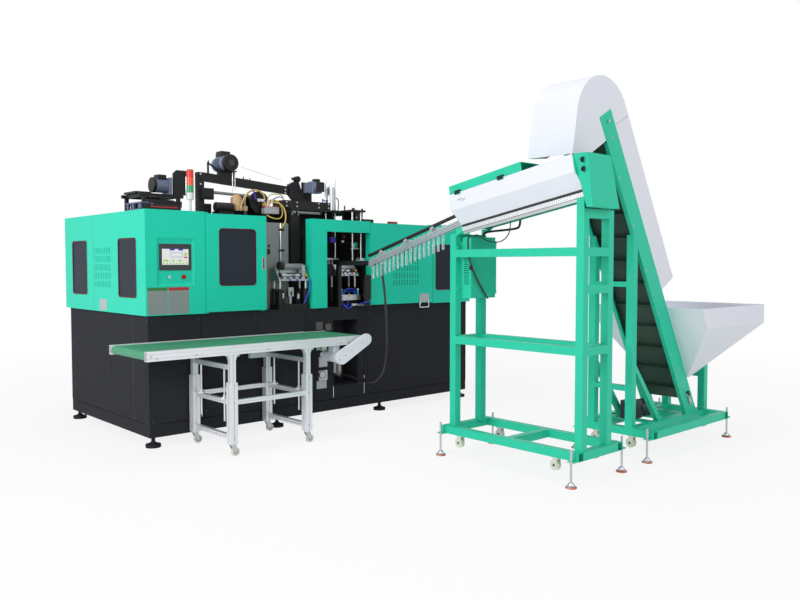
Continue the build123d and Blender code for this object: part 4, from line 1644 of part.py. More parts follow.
# Elevator belt: one loop round both pulleys with cross cleats on its outside
def build_elevator_belt():
    t = CASING_PLATE
    y = (CASING_Y[0] + t + BELT_EDGE_GAP, CASING_Y[1] - t - BELT_EDGE_GAP)
    s0, s1 = pulley_low(), CASING_LENGTH - PULLEY_END
    mid = CASING_WIDTH / 2
    r_in = PULLEY_RADIUS + BELT_SLACK
    r_out = r_in + ELEVATOR_BELT
    y_cut = (y[0] - 1, y[1] + 1)
    loop = slab_xz(casing_patch((s0, s1), (mid - r_out, mid + r_out)), y)
    hollow = slab_xz(casing_patch((s0, s1), (mid - r_in, mid + r_in)), y_cut)
    for s in (s0, s1):
        loop += rod("Y", casing_point(s, mid), y[0], y[1], r_out)
        hollow += rod("Y", casing_point(s, mid), y_cut[0], y_cut[1], r_in)
    belt = loop - hollow
    pitch = (s1 - s0) / CLEAT_COUNT
    half = CLEAT_THICKNESS / 2
    cleat_y = (y[0] + 20, y[1] - 20)
    for i in range(CLEAT_COUNT):
        s = s0 + pitch * (i + 0.5)
        upper = (mid + r_out - 1, mid + r_out + CLEAT_HEIGHT)
        lower = (mid - r_out - CLEAT_HEIGHT, mid - r_out + 1)
        for n in (upper, lower):
            belt += slab_xz(casing_patch((s - half, s + half), n), cleat_y)
    add("elevator_belt", belt)
    for node, s in (("tail_pulley", s0), ("head_pulley", s1)):
        drum = rod("Y", casing_point(s, mid), y[0] + 2, y[1] - 2, PULLEY_RADIUS)
        drum += rod("Y", casing_point(s, mid), CASING_Y[0] - 14, CASING_Y[1] + 14, PULLEY_SHAFT)
        add(node, drum)


# Hood: rounded white sheet box over the belt's upper run, open to the unscrambler and the hopper
def hood_centre():
    """X and Z of the centre of the hood's round top, set from the head pulley."""
    head_x, head_z = casing_point(CASING_LENGTH - PULLEY_END, CASING_WIDTH / 2)
    return head_x - HOOD_BACK_SET, head_z - HOOD_DOWN_SET


def hood_outline(inset):
    """Closed hood section moved inwards by a sheet, its open edges carried past the solid one."""
    a = radians(CASING_ANGLE)
    lean = radians(HOOD_MOUTH_LEAN)
    r = HOOD_RADIUS - inset
    cx, cz = hood_centre()
    mouth_z = cz - HOOD_MOUTH_DROP
    t1 = (cx - r * cos(lean), cz + r * sin(lean))
    t2 = (cx + r * sin(a), cz + r * cos(a))
    mouth_x = t1[0] - (t1[1] - mouth_z) * tan(lean)
    mouth = (mouth_x, mouth_z)
    flank_n = (t2[0] - CASING_TOE_X) * sin(a) + (t2[1] - FRAME_RAIL_TOP) * cos(a)
    low = on_slope(flank_n, HOOD_LOW_Z)
    along = (HOOD_LOW_Z - FRAME_RAIL_TOP - flank_n * cos(a)) / sin(a)
    seat = casing_point(along, CASING_WIDTH - 6)
    return mouth, t1, (cx, cz + r), t2, low, seat


def build_hood():
    t = HOOD_SHEET
    wall = CASING_PLATE
    y = (CASING_Y[0] + wall, CASING_Y[1] - wall)
    shapes = []
    inner_corner = casing_point(CASING_LENGTH - HOOD_MOUTH_REACH + 10, 19)
    turn = casing_point(CASING_LENGTH - 400, CASING_WIDTH - 6)
    for inset, span in ((0, y), (t, (y[0] + t, y[1] - t))):
        mouth, t1, top, t2, low, seat = hood_outline(inset)
        chute = (hood_centre()[0] - HOOD_CHUTE_SET, mouth[1] + 22)
        if inset:
            mouth = (mouth[0] - 2 * tan(radians(HOOD_MOUTH_LEAN)), mouth[1] - 12)
            chute = (chute[0] + 14, chute[1] - 14)
            low = (low[0] + 8, low[1] - 14)
            seat = (seat[0] - 8, seat[1] - 30)
        corner = (inner_corner[0] + inset * 5, inner_corner[1] - inset * 5)
        bend = (turn[0] - inset * 5, turn[1] - inset * 5)
        flank = Polyline(t2, low, seat, bend, corner, chute, mouth)
        edges = Polyline(mouth, t1) + ThreePointArc(t1, top, t2) + flank
        face = make_face(edges)
        face = Plane((0, span[0], 0), x_dir=(1, 0, 0), z_dir=(0, -1, 0)) * face
        shapes.append(extrude(face, amount=span[1] - span[0], dir=(0, 1, 0)))
    hood = shapes[0] - shapes[1]
    mid = CASING_WIDTH / 2
    sx, sz = casing_point(CASING_LENGTH - PULLEY_END, mid)
    hood -= rod("Y", (sx, sz), y[0] - 1, y[1] + 1, PULLEY_SHAFT + 8)
    add("hood", hood)


def hopper_slope(x):
    """Height of the hopper's right sloping wall at a given X, on its outside."""
    low_x = hopper_left(HOPPER_LOW_Z) + HOPPER_THROAT
    return HOPPER_LOW_Z + (x - low_x) / (HOPPER_RIGHT - low_x) * (HOPPER_BAND_Z - HOPPER_LOW_Z)


def hopper_left(z):
    """X of the hopper's left wall, which lies on the casing's upper edge, at height z."""
    return on_slope(CASING_WIDTH, z)[0]


# Hopper: white sheet funnel with an upright rim, open to the belt on its left
def build_hopper():
    y_mid = (CASING_Y[0] + CASING_Y[1]) / 2
    y = (y_mid - HOPPER_WIDTH / 2, y_mid + HOPPER_WIDTH / 2)
    throat_y = (CASING_Y[0], CASING_Y[1])
    bodies = []
    for inset in (0, HOPPER_SHEET):
        top = HOPPER_TOP + inset
        x0, x1 = hopper_left(HOPPER_BAND_Z) + inset, HOPPER_RIGHT - inset
        rim = [(hopper_left(top) + inset, top), (x1, top), (x1, HOPPER_BAND_Z), (x0, HOPPER_BAND_Z)]
        band = slab_xz(rim, (y[0] + inset, y[1] - inset))
        low_z = HOPPER_LOW_Z + 2 * inset
        u0 = hopper_left(HOPPER_LOW_Z) + 2 * inset
        u1 = hopper_left(HOPPER_LOW_Z) + HOPPER_THROAT - inset
        high = Pos((x0 + x1) / 2, y_mid, HOPPER_BAND_Z) * Rectangle(x1 - x0, y[1] - y[0] - 2 * inset)
        low = Pos((u0 + u1) / 2, y_mid, low_z) * Rectangle(u1 - u0, throat_y[1] - throat_y[0] - 2 * inset)
        bodies.append(band + loft([low, high]))
    hopper = bodies[0] - bodies[1]
    mouth = (CASING_Y[0] + CASING_PLATE, CASING_Y[1] - CASING_PLATE)
    n0, n1 = CASING_WIDTH - 10, CASING_WIDTH + 14
    low, high = HOPPER_LOW_Z + 30, HOPPER_TOP - 20
    window = [on_slope(n0, low), on_slope(n1, low), on_slope(n1, high), on_slope(n0, high)]
    hopper -= slab_xz(window, mouth)
    add("hopper", hopper)


# Supply hose: hangs from the rail's low end and runs back into the machine's recess
def cord(points, radius):
    """Round tube along straight runs joined by the largest arcs that the runs allow."""
    vectors = [Vector(*p) for p in points]
    radii = []
    for a, b, c in zip(vectors, vectors[1:], vectors[2:]):
        first, second = b - a, c - b
        turn = radians(first.get_angle(second))
        radii.append(0.45 * min(first.length, second.length) / tan(turn / 2))
    path = FilletPolyline(*points, radius=radii)
    start = Plane(origin=path @ 0, z_dir=path % 0)
    print("cord length", round(path.length))
    return sweep(start * Circle(radius), path=path)


def build_cords():
    add("supply_hose", cord(HOSE_POINTS, HOSE_RADIUS))
    add("loader_cable", cord(CABLE_POINTS, CABLE_RADIUS))
    add("air_hose", cord(AIR_HOSE_POINTS, AIR_HOSE_RADIUS))


BUILDERS = (
    build_base, build_base_panels, build_air_unit, build_left_guard, build_left_doors, build_side_panels,
    build_right_guard, build_station, build_guides, build_movers, build_oven, build_drive_arm, build_motors,
    build_tower, build_conveyor_deck, build_conveyor_legs, build_casters, build_drive_cover,
    build_loader_stand, build_trough, build_lid, build_housing, build_rail, build_preforms, build_cabinet,
    build_elevator_stand, build_casing, build_elevator_belt, build_hood, build_hopper, build_cords,
)

for build in BUILDERS:
    build()

everything = Compound([s for solids in PARTS.values() for s in solids])
limits = everything.bounding_box()
SHIFT = Vector(-(limits.min.X + limits.max.X) / 2, -(limits.min.Y + limits.max.Y) / 2, -limits.min.Z)

os.makedirs("parts", exist_ok=True)
for node, solids in PARTS.items():
    flat = [one for shape in solids for one in shape.solids()]
    moved = [Pos(*SHIFT) * one for one in flat]
    export_step(Compound(moved) if len(moved) > 1 else moved[0], f"parts/{node}.step")
print("nodes", len(PARTS), "shift", SHIFT)
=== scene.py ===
from math import cos, pi, radians, sin

import bpy
import bmesh
from mathutils import Matrix, Vector


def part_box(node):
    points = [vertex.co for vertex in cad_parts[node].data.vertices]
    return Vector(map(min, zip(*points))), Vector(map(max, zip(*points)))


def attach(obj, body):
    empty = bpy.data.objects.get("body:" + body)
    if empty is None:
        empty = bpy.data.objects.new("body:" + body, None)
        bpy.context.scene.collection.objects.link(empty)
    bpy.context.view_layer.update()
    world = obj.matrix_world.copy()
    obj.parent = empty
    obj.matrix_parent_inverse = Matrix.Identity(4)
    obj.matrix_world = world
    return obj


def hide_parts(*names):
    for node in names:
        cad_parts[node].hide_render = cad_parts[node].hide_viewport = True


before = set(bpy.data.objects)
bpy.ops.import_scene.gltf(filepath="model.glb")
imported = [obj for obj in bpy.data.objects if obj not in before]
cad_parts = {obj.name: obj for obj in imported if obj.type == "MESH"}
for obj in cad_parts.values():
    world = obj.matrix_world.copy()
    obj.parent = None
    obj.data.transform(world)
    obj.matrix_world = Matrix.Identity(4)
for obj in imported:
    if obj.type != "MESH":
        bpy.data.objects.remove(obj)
bpy.context.scene.view_settings.view_transform = "Standard"

# The plan's datum is the base's front left corner on the floor, with sizes in millimetres. The left guard
# overhangs that corner by 30 mm, so its lowest corner gives the datum in the row frame.
MM = 0.001
GUARD_OVERHANG = 30.0
guard_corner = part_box("left_guard")[0]
DATUM = Vector((guard_corner.x + GUARD_OVERHANG * MM, guard_corner.y + GUARD_OVERHANG * MM, 0.0))


def spot(x, y, z):
    """Place on the plan in millimetres, as a point of the row frame in metres."""
    return DATUM + Vector((x, y, z)) * MM


# The camera stands in front of the machine's left end at standing eye height, looking along the base's corner
# towards the loader. The view was solved from the base's edges and from the feet's places on the floor.
CAMERA_SPOT = spot(-2705.6, -6002.6, 1500.0)
CAMERA_YAW = 42.31
CAMERA_PITCH = -2.585
LENS = 34.86

camera_data = bpy.data.cameras.new("camera")
camera_data.sensor_width = 36.0
camera_data.lens = LENS
camera_data.clip_end = 200.0
camera = bpy.data.objects.new("camera", camera_data)
camera.location = CAMERA_SPOT
camera.rotation_euler = (radians(90.0 + CAMERA_PITCH), 0.0, radians(-CAMERA_YAW))
bpy.context.scene.collection.objects.link(camera)
bpy.context.scene.camera = camera

# The studio is a white floor under a white surround, with three large soft lamps: one to the left of the
# machine, which is the brightest, one behind the camera and one overhead.
FLOOR_SIZE = 120.0
FLOOR_GLOW = 0.84
FLOOR_FADE = (3.0, 9.0)
SURROUND_LIGHT = 0.40


def add_node(tree, kind, operation=None, values=None):
    """Node of one kind in a tree, with its operation and the starting values of its inputs."""
    made = tree.nodes.new(kind)
    if operation:
        made.operation = operation
    for socket, value in (values or {}).items():
        made.inputs[socket].default_value = value
    return made


def wire(tree, *runs):
    """Links in a tree; each run is a node and its output, then the node and the input that it feeds."""
    for source, output, target, socket in runs:
        tree.links.new(source.outputs[output], target.inputs[socket])


def camera_sees(tree):
    """Node whose output is 1 for what the camera, a reflection or clear plastic shows."""
    rays = add_node(tree, "ShaderNodeLightPath")
    seen = add_node(tree, "ShaderNodeMath", "MAXIMUM")
    either = add_node(tree, "ShaderNodeMath", "MAXIMUM")
    wire(
        tree,
        (rays, "Is Camera Ray", seen, 0),
        (rays, "Is Transmission Ray", seen, 1),
        (seen, 0, either, 0),
        (rays, "Is Glossy Ray", either, 1),
    )
    return either


world = bpy.data.worlds.new("surround")
world.use_nodes = True
bpy.context.scene.world = world
surround = world.node_tree
background = surround.nodes["Background"]
background.inputs["Color"].default_value = (1.0, 1.0, 1.0, 1.0)
strength = add_node(surround, "ShaderNodeMapRange", values={"To Min": SURROUND_LIGHT, "To Max": 1.0})
wire(
    surround,
    (camera_sees(surround), 0, strength, "Value"),
    (strength, "Result", background, "Strength"),
)

floor_paint = bpy.data.materials.new("floor_paint")
floor_paint.use_nodes = True
floor_tree = floor_paint.node_tree
floor_tree.nodes.clear()
diffuse = add_node(floor_tree, "ShaderNodeBsdfDiffuse", values={"Color": (0.90, 0.90, 0.90, 1.0)})
glow = add_node(floor_tree, "ShaderNodeEmission", values={"Strength": 1.0})
place = add_node(floor_tree, "ShaderNodeTexCoord")
reach = add_node(floor_tree, "ShaderNodeVectorMath", "LENGTH")
fade_range = {"From Min": FLOOR_FADE[0], "From Max": FLOOR_FADE[1], "To Min": FLOOR_GLOW, "To Max": 1.0}
fade = add_node(floor_tree, "ShaderNodeMapRange", values=fade_range)
share = add_node(floor_tree, "ShaderNodeMath", "MULTIPLY")
mix = add_node(floor_tree, "ShaderNodeMixShader")
floor_out = add_node(floor_tree, "ShaderNodeOutputMaterial")
wire(
    floor_tree,
    (place, "Object", reach, 0),
    (reach, "Value", fade, "Value"),
    (camera_sees(floor_tree), 0, share, 0),
    (fade, "Result", share, 1),
    (share, 0, mix, "Fac"),
    (diffuse, 0, mix, 1),
    (glow, 0, mix, 2),
    (mix, 0, floor_out, "Surface"),
)

floor_mesh = bpy.data.meshes.new("floor")
half = FLOOR_SIZE / 2
floor_mesh.from_pydata([(-half, -half, 0), (half, -half, 0), (half, half, 0), (-half, half, 0)], [],
                       [(0, 1, 2, 3)])
floor_mesh.materials.append(floor_paint)
floor = bpy.data.objects.new("floor", floor_mesh)
bpy.context.scene.collection.objects.link(floor)


def soft_lamp(name, place, aim, size, power):
    """Large square lamp at one place, turned to shine at another."""
    lamp = bpy.data.lights.new(name, "AREA")
    lamp.shape = "SQUARE"
    lamp.size = size
    lamp.energy = power
    holder = bpy.data.objects.new(name, lamp)
    holder.location = place
    holder.rotation_mode = "QUATERNION"
    holder.rotation_quaternion = (Vector(aim) - Vector(place)).to_track_quat("-Z", "Y")
    bpy.context.scene.collection.objects.link(holder)
    return holder


soft_lamp("left_lamp", (-12.0, -1.0, 4.5), (0.0, 0.0, 1.0), 6.0, 800.0)
soft_lamp("front_lamp", (-2.5, -14.0, 6.0), (0.0, 0.0, 1.0), 6.0, 520.0)
soft_lamp("top_lamp", (-0.5, -1.0, 10.5), (0.0, 0.0, 0.0), 7.0, 250.0)

# Every finish is a paint, metal, plastic or rubber with a little grain in it. The grain group mixes large
# soft clouds with fine speckle, and gives a colour, a roughness and a fine height for each of them.
SPECKLE_HEIGHT = 0.001


def add_group(name, kind, inputs, outputs):
    """Empty node group with its ports; each is a label, a type and, where it has one, a starting value."""
    group = bpy.data.node_groups.new(name, kind)
    for side, ports in (("INPUT", inputs), ("OUTPUT", outputs)):
        for label, socket, *start in ports:
            port = group.interface.new_socket(label, in_out=side, socket_type="NodeSocket" + socket)
            if start:
                port.default_value = start[0]
    return group


def make_grain_group():
    """Node group that varies a finish over the surface by place on the piece."""
    ports = [("Colour", "Color", (0.5, 0.5, 0.5, 1.0)), ("Roughness", "Float", 0.4),
             ("Cloud size", "Float", 3.0), ("Speckle size", "Float", 900.0), ("Unevenness", "Float", 0.08)]
    group = add_group("finish_grain", "ShaderNodeTree", ports,
                      [("Colour", "Color"), ("Roughness", "Float"), ("Height", "Float")])
    given = add_node(group, "NodeGroupInput")
    made = add_node(group, "NodeGroupOutput")
    place = add_node(group, "ShaderNodeTexCoord")
    clouds = add_node(group, "ShaderNodeTexNoise", values={"Detail": 5.0, "Roughness": 0.6})
    speckle = add_node(group, "ShaderNodeTexNoise", values={"Detail": 2.0})
    centred = add_node(group, "ShaderNodeMath", "SUBTRACT", {1: 0.5})
    swing = add_node(group, "ShaderNodeMath", "MULTIPLY")
    bright = add_node(group, "ShaderNodeMath", "MULTIPLY_ADD", {1: 2.0, 2: 1.0})
    shaded = add_node(group, "ShaderNodeVectorMath", "SCALE")
    rough = add_node(group, "ShaderNodeMath", "MULTIPLY_ADD", {1: 3.0})
    rough.use_clamp = True
    wire(
        group,
        (place, "Object", clouds, "Vector"),
        (place, "Object", speckle, "Vector"),
        (given, "Cloud size", clouds, "Scale"),
        (given, "Speckle size", speckle, "Scale"),
        (clouds, "Fac", centred, 0),
        (centred, 0, swing, 0),
        (given, "Unevenness", swing, 1),
        (swing, 0, bright, 0),
        (given, "Colour", shaded, 0),
        (bright, 0, shaded, "Scale"),
        (shaded, "Vector", made, "Colour"),
        (swing, 0, rough, 0),
        (given, "Roughness", rough, 2),
        (rough, 0, made, "Roughness"),
        (speckle, "Fac", made, "Height"),
    )
    return group


grain_group = make_grain_group()


def finish(name, colour, roughness, metallic=0.0, unevenness=0.06, speckle=900.0, relief=0.04, gloss=0.5):
    """Material with grain: colour is linear, relief is how deep the speckle stands."""
    material = bpy.data.materials.new(name)
    material.use_nodes = True
    tree = material.node_tree
    surface = tree.nodes["Principled BSDF"]
    surface.inputs["Metallic"].default_value = metallic
    surface.inputs["Specular IOR Level"].default_value = gloss
    grain = add_node(tree, "ShaderNodeGroup")
    grain.node_tree = grain_group
    grain.inputs["Colour"].default_value = (*colour, 1.0)
    grain.inputs["Roughness"].default_value = roughness
    grain.inputs["Unevenness"].default_value = unevenness
    grain.inputs["Speckle size"].default_value = speckle
    bump = add_node(tree, "ShaderNodeBump", values={"Strength": relief, "Distance": SPECKLE_HEIGHT})
    wire(
        tree,
        (grain, "Colour", surface, "Base Color"),
        (grain, "Roughness", surface, "Roughness"),
        (grain, "Height", bump, "Height"),
        (bump, "Normal", surface, "Normal"),
    )
    return material


def dress(material, slot, *nodes):
    """Give plan nodes their finish as they are."""
    for name in nodes:
        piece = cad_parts[name]
        piece.data.materials.clear()
        piece.data.materials.append(material)


guard_green = finish("guard_green", (0.010, 0.62, 0.43), 0.45, unevenness=0.03, gloss=0.25)
frame_green = finish("frame_green", (0.020, 0.56, 0.36), 0.45, unevenness=0.04, gloss=0.3)
base_black = finish("base_black", (0.029, 0.030, 0.036), 0.55, gloss=0.02)
station_black = finish("station_black", (0.012, 0.012, 0.013), 0.45, gloss=0.25)
cover_white = finish("cover_white", (0.78, 0.80, 0.88), 0.45, unevenness=0.015, gloss=0.3)
profile_silver = finish("profile_silver", (0.78, 0.79, 0.83), 0.38, metallic=0.5)
machined_silver = finish("machined_silver", (0.52, 0.53, 0.55), 0.32, metallic=0.9)
ground_steel = finish("ground_steel", (0.58, 0.59, 0.63), 0.26, metallic=0.85, unevenness=0.03)
zinc = finish("zinc", (0.50, 0.52, 0.54), 0.36, metallic=0.9, unevenness=0.12)
# The windows' colour is the sheets' dark tint lifted by a painted reflection, with their own gloss nearly
# off.
window_tint_and_reflection = finish("window_tint_and_reflection", (0.034, 0.040, 0.054), 0.3, unevenness=0.01, relief=0.0, gloss=0.02)
motor_grey = finish("motor_grey", (0.15, 0.18, 0.28), 0.42)
conveyor_green = finish("conveyor_green", (0.045, 0.27, 0.145), 0.52, speckle=700.0, relief=0.15)
cleat_green = finish("cleat_green", (0.014, 0.042, 0.028), 0.55, relief=0.12)
black_rubber = finish("black_rubber", (0.015, 0.015, 0.016), 0.55, relief=0.1)
caster_cream = finish("caster_cream", (0.66, 0.68, 0.57), 0.48)
button_silver = finish("button_silver", (0.55, 0.55, 0.57), 0.3, metallic=0.8)
stop_red = finish("stop_red", (0.42, 0.008, 0.010), 0.3, gloss=0.3)

dress(base_black, "black_paint", "base_frame", "base_panels")
dress(station_black, "black_paint", "station_frame", "oven_frame", "drive_arm")
dress(guard_green, "green_paint", "left_guard", "right_guard", "front_door", "right_door", "side_panels")
dress(frame_green, "green_paint", "loader_frame", "elevator_frame", "elevator_casing", "unscrambler_body",
      "drive_housing", "control_cabinet", "cabinet_door")
dress(cover_white, "white_paint", "hood", "hopper", "unscrambler_lid", "conveyor_drive")
dress(window_tint_and_reflection, "dark_window", "guard_windows", "front_door_window")
dress(machined_silver, "machined_aluminium", "bottle_carriage", "preform_carriage", "left_mould_half",
      "right_mould_half")
dress(ground_steel, "bright_steel", "guide_rods", "stretch_rods")
dress(motor_grey, "motor_paint", "drive_motors")
dress(profile_silver, "aluminium_profile", "conveyor_deck", "conveyor_legs")
dress(conveyor_green, "green_belt", "conveyor_belt")
dress(cleat_green, "dark_belt", "elevator_belt")
rail_steel = finish("rail_steel", (0.56, 0.61, 0.66), 0.34, metallic=0.5)
dress(rail_steel, "zinc_steel", "preform_rail")
dress(zinc, "zinc_steel", "conveyor_tail_roller", "conveyor_drive_roller", "screw_feet",
      "front_unscrambler_roller", "rear_unscrambler_roller", "head_pulley", "tail_pulley", "caster_fork_1",
      "caster_fork_2", "caster_fork_3", "caster_fork_4")
dress(caster_cream, "caster_wheel", "stand_casters", "caster_wheel_1", "caster_wheel_2", "caster_wheel_3",
      "caster_wheel_4")
dress(button_silver, "silver_button", "start_button")
dress(stop_red, "red_button", "emergency_stop")

# The gearmotors are castings painted blue-grey. They are one node, and its colour goes by height: blue-grey
# up on the machine and nearly black below 1.2 m, at the foot of the elevator.
LINE_HEIGHT = 3.0


def height_zones(name, low, high, zones):
    """Node group with a colour for each height zone; a zone is its start, 0 to 1 of the span, and colour."""
    group = add_group(name, "ShaderNodeTree", (), [("Colour", "Color")])
    made = add_node(group, "NodeGroupOutput")
    place = add_node(group, "ShaderNodeTexCoord")
    axes = add_node(group, "ShaderNodeSeparateXYZ")
    share = add_node(group, "ShaderNodeMapRange", values={"From Min": low, "From Max": high})
    ramp = add_node(group, "ShaderNodeValToRGB")
    ramp.color_ramp.interpolation = "CONSTANT"
    stops = ramp.color_ramp.elements
    stops.remove(stops[1])
    for start, colour in zones:
        stop = stops.new(start) if start else stops[0]
        stop.color = (*colour, 1.0)
    wire(
        group,
        (place, "Object", axes, "Vector"),
        (axes, "Z", share, "Value"),
        (share, "Result", ramp, "Fac"),
        (ramp, "Color", made, "Colour"),
    )
    return group


def colour_from(material, group, node, socket):
    """Feed the colour of a node group into one socket of a material."""
    tree = material.node_tree
    source = add_node(tree, "ShaderNodeGroup")
    source.node_tree = group
    wire(tree, (source, "Colour", tree.nodes[node], socket))


motor_zones = height_zones("motor_zones", 0.0, LINE_HEIGHT,
                           ((0.0, (0.016, 0.018, 0.028)), (0.4, (0.15, 0.18, 0.28))))
colour_from(motor_grey, motor_zones, "Group", "Colour")

# The signal tower is a stack of three clear lenses on a grey base, red over amber over green. Each is moulded
# in coloured plastic with a lamp behind it, under one black cap.
TOWER_LENS = 62.0
TOWER_CAP = 8.0
tower_low, tower_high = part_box("signal_tower")
tower_height = tower_high.z - tower_low.z
lens_share = TOWER_LENS * MM / tower_height
cap_start = 1.0 - TOWER_CAP * MM / tower_height
lens_colours = ((0.72, 0.008, 0.005), (0.82, 0.075, 0.012), (0.010, 0.30, 0.12))
tower_zones = [(0.0, (0.62, 0.64, 0.66))]
tower_zones += [(cap_start - i * lens_share, colour) for i, colour in enumerate(lens_colours, start=1)]
tower_zones.append((cap_start, (0.05, 0.05, 0.05)))
signal_plastic = bpy.data.materials.new("signal_plastic")
signal_plastic.use_nodes = True
signal_plastic.node_tree.nodes["Principled BSDF"].inputs["Roughness"].default_value = 0.2
signal_zones = height_zones("signal_zones", tower_low.z, tower_high.z, tower_zones)
colour_from(signal_plastic, signal_zones, "Principled BSDF", "Base Color")
dress(signal_plastic, "signal_lens", "signal_tower")

# The air service unit's fittings are pale plastic down on the base front. Its risers are dark steel pipe, and
# the bundle at their top is wrapped in cream sleeving. The colour goes by height.
service_plastic = finish("service_plastic", (0.70, 0.71, 0.72), 0.42)
service_zones = height_zones("service_zones", 0.0, LINE_HEIGHT,
                             ((0.0, (0.62, 0.63, 0.64)), (0.27, (0.085, 0.080, 0.074)),
                              (0.34, (0.03, 0.03, 0.032)), (0.666, (0.62, 0.40, 0.20))))
colour_from(service_plastic, service_zones, "Group", "Colour")
dress(service_plastic, "white_paint", "air_service_unit")

# The guard windows are smoked sheets held in a maroon rubber gasket, with a pressed lip in the green panel
# round each one. The sheets' slate-blue colour is their dark tint with a painted reflection in it. Gasket and
# lip are rounded frames that stand a little proud of the panel.
WINDOW_WIDTH = 362.0
WINDOW_HEIGHT = 492.0
WINDOW_BOTTOM = 1230.0
WINDOW_RADIUS = 28.0
FRONT_WINDOW_X = 633.0
RIGHT_WINDOW_X = 3254.0
SIDE_WINDOW_Y = (145.0, 1217.0)
FRONT_WINDOW_RISE = 92.0
GUARD_FACE = -30.0
GUARD_TOP = 1951.0
GASKET_INSET = 8.0
GASKET_WIDTH = 11.0
GASKET_PROUD = 3.0
LIP_INSET = -5.0
LIP_WIDTH = 13.0
LIP_PROUD = 1.6
CORNER_STEPS = 8
CORNER_SHARE = 0.6
FRAME_SEAT = 1.0

gasket_maroon = finish("gasket_maroon", (0.085, 0.010, 0.028), 0.5, relief=0.02, gloss=0.2)


def add_piece(name, shape, material, body="machine"):
    """Object from a finished bmesh or mesh that rides on a body of the plan."""
    if isinstance(shape, bmesh.types.BMesh):
        mesh = bpy.data.meshes.new(name)
        shape.to_mesh(mesh)
        shape.free()
    else:
        mesh = shape
        mesh.name = name
    mesh.materials.clear()
    mesh.materials.append(material)
    piece = bpy.data.objects.new(name, mesh)
    bpy.context.scene.collection.objects.link(piece)
    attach(piece, body)
    return piece


def rounded_loop(width, height, radius):
    """Corner points of a rounded rectangle centred on zero, in order."""
    loop = []
    corners = ((1, 1, 0.0), (-1, 1, 0.5), (-1, -1, 1.0), (1, -1, 1.5))
    for side_x, side_y, start in corners:
        centre = (side_x * (width / 2 - radius), side_y * (height / 2 - radius))
        for step in range(CORNER_STEPS + 1):
            turn = pi * (start + 0.5 * step / CORNER_STEPS)
            loop.append((centre[0] + radius * cos(turn), centre[1] + radius * sin(turn)))
    return loop


def rounded_frame(shape, axis, across, low_z, size, radius, width, face, proud):
    """Frame of one width round a rounded rectangle that faces -Y or -X, standing proud of its panel."""
    centre = (across + size[0] / 2, low_z + size[1] / 2)
    back = face + FRAME_SEAT
    front = face - proud
    rims = []
    for grow, depth in ((0.0, back), (0.0, front), (width, front), (width, back)):
        loop = rounded_loop(size[0] + 2 * grow, size[1] + 2 * grow, radius + grow)
        ring = []
        for u, v in loop:
            along = centre[0] + u
            height = centre[1] + v
            place = spot(along, depth, height) if axis == "Y" else spot(depth, along, height)
            ring.append(shape.verts.new(place))
        rims.append(ring)
    count = len(rims[0])
    for inner, outer in zip(rims, rims[1:] + rims[:1]):
        for i in range(count):
            j = (i + 1) % count
            shape.faces.new((inner[i], inner[j], outer[j], outer[i]))
    bmesh.ops.recalc_face_normals(shape, faces=shape.faces)


def window_frames(name, places, inset, width, proud, material, body):
    """Like frames for several windows, as one piece."""
    shape = bmesh.new()
    size = (WINDOW_WIDTH - 2 * inset, WINDOW_HEIGHT - 2 * inset)
    for axis, across, low_z in places:
        corner = WINDOW_RADIUS - inset * CORNER_SHARE
        rounded_frame(shape, axis, across + inset, low_z + inset, size, corner, width, GUARD_FACE, proud)
    return add_piece(name, shape, material, body)


fixed_windows = [("X", y, WINDOW_BOTTOM) for y in SIDE_WINDOW_Y] + [("Y", RIGHT_WINDOW_X, WINDOW_BOTTOM)]
door_windows = [("Y", FRONT_WINDOW_X, WINDOW_BOTTOM + FRONT_WINDOW_RISE)]
for label, places, body in (("fixed", fixed_windows, "machine"), ("door", door_windows, "front_door")):
    window_frames(f"{label}_window_gasket", places, GASKET_INSET, GASKET_WIDTH, GASKET_PROUD, gasket_maroon,
                  body)
    window_frames(f"{label}_window_lip", places, LIP_INSET, LIP_WIDTH, LIP_PROUD, guard_green, body)

# Two grey aluminium plates are riveted to the front guard under the screen, one with a green band and one
# with a red band, and a small one is on each of two other panels. All are bare.
PLATE_THICKNESS = 1.2
BAND_HEIGHT = 27.0
EDGE_PROFILE = 0.6
plate_grey = finish("plate_grey", (0.22, 0.26, 0.26), 0.45, metallic=0.2, speckle=300.0)
plate_pale = finish("plate_pale", (0.42, 0.44, 0.46), 0.45, metallic=0.2)
band_green = finish("band_green", (0.020, 0.17, 0.030), 0.4)
band_red = finish("band_red", (0.42, 0.010, 0.016), 0.4)


def soften(shape, edges, width):
    """Round off some edges by a width in millimetres."""
    bmesh.ops.bevel(shape, geom=edges, offset=width * MM, segments=2, profile=EDGE_PROFILE, affect="EDGES")


def blocks(name, corners, material, body="machine", soft=0, place=spot):
    """Blocks between two corners each, as one piece with softened edges; place gives a point's real place."""
    shape = bmesh.new()
    for low, high in corners:
        made = bmesh.ops.create_cube(shape, size=1.0)
        size = Vector(high) - Vector(low)
        middle = (Vector(high) + Vector(low)) / 2
        for vert in made["verts"]:
            vert.co = place(*(middle[i] + vert.co[i] * size[i] for i in range(3)))
    if soft:
        soften(shape, list(shape.edges), soft)
    return add_piece(name, shape, material, body)


plate_front = GUARD_FACE - PLATE_THICKNESS
blocks("operator_plates", [((-17, plate_front, 1096), (157, GUARD_FACE, 1290)),
                           ((163, plate_front, 1096), (346, GUARD_FACE, 1290))], plate_grey)
blocks("green_band", [((-17, plate_front, 1290), (157, GUARD_FACE, 1290 + BAND_HEIGHT))], band_green)
blocks("red_band", [((163, plate_front, 1290), (346, GUARD_FACE, 1290 + BAND_HEIGHT))], band_red)
blocks("side_plate", [((plate_front, 772, 1103), (GUARD_FACE, 927, 1199))], plate_pale)
blocks("door_plate", [((3016, plate_front, 1104), (3154, GUARD_FACE, 1194))], plate_pale, "right_door")

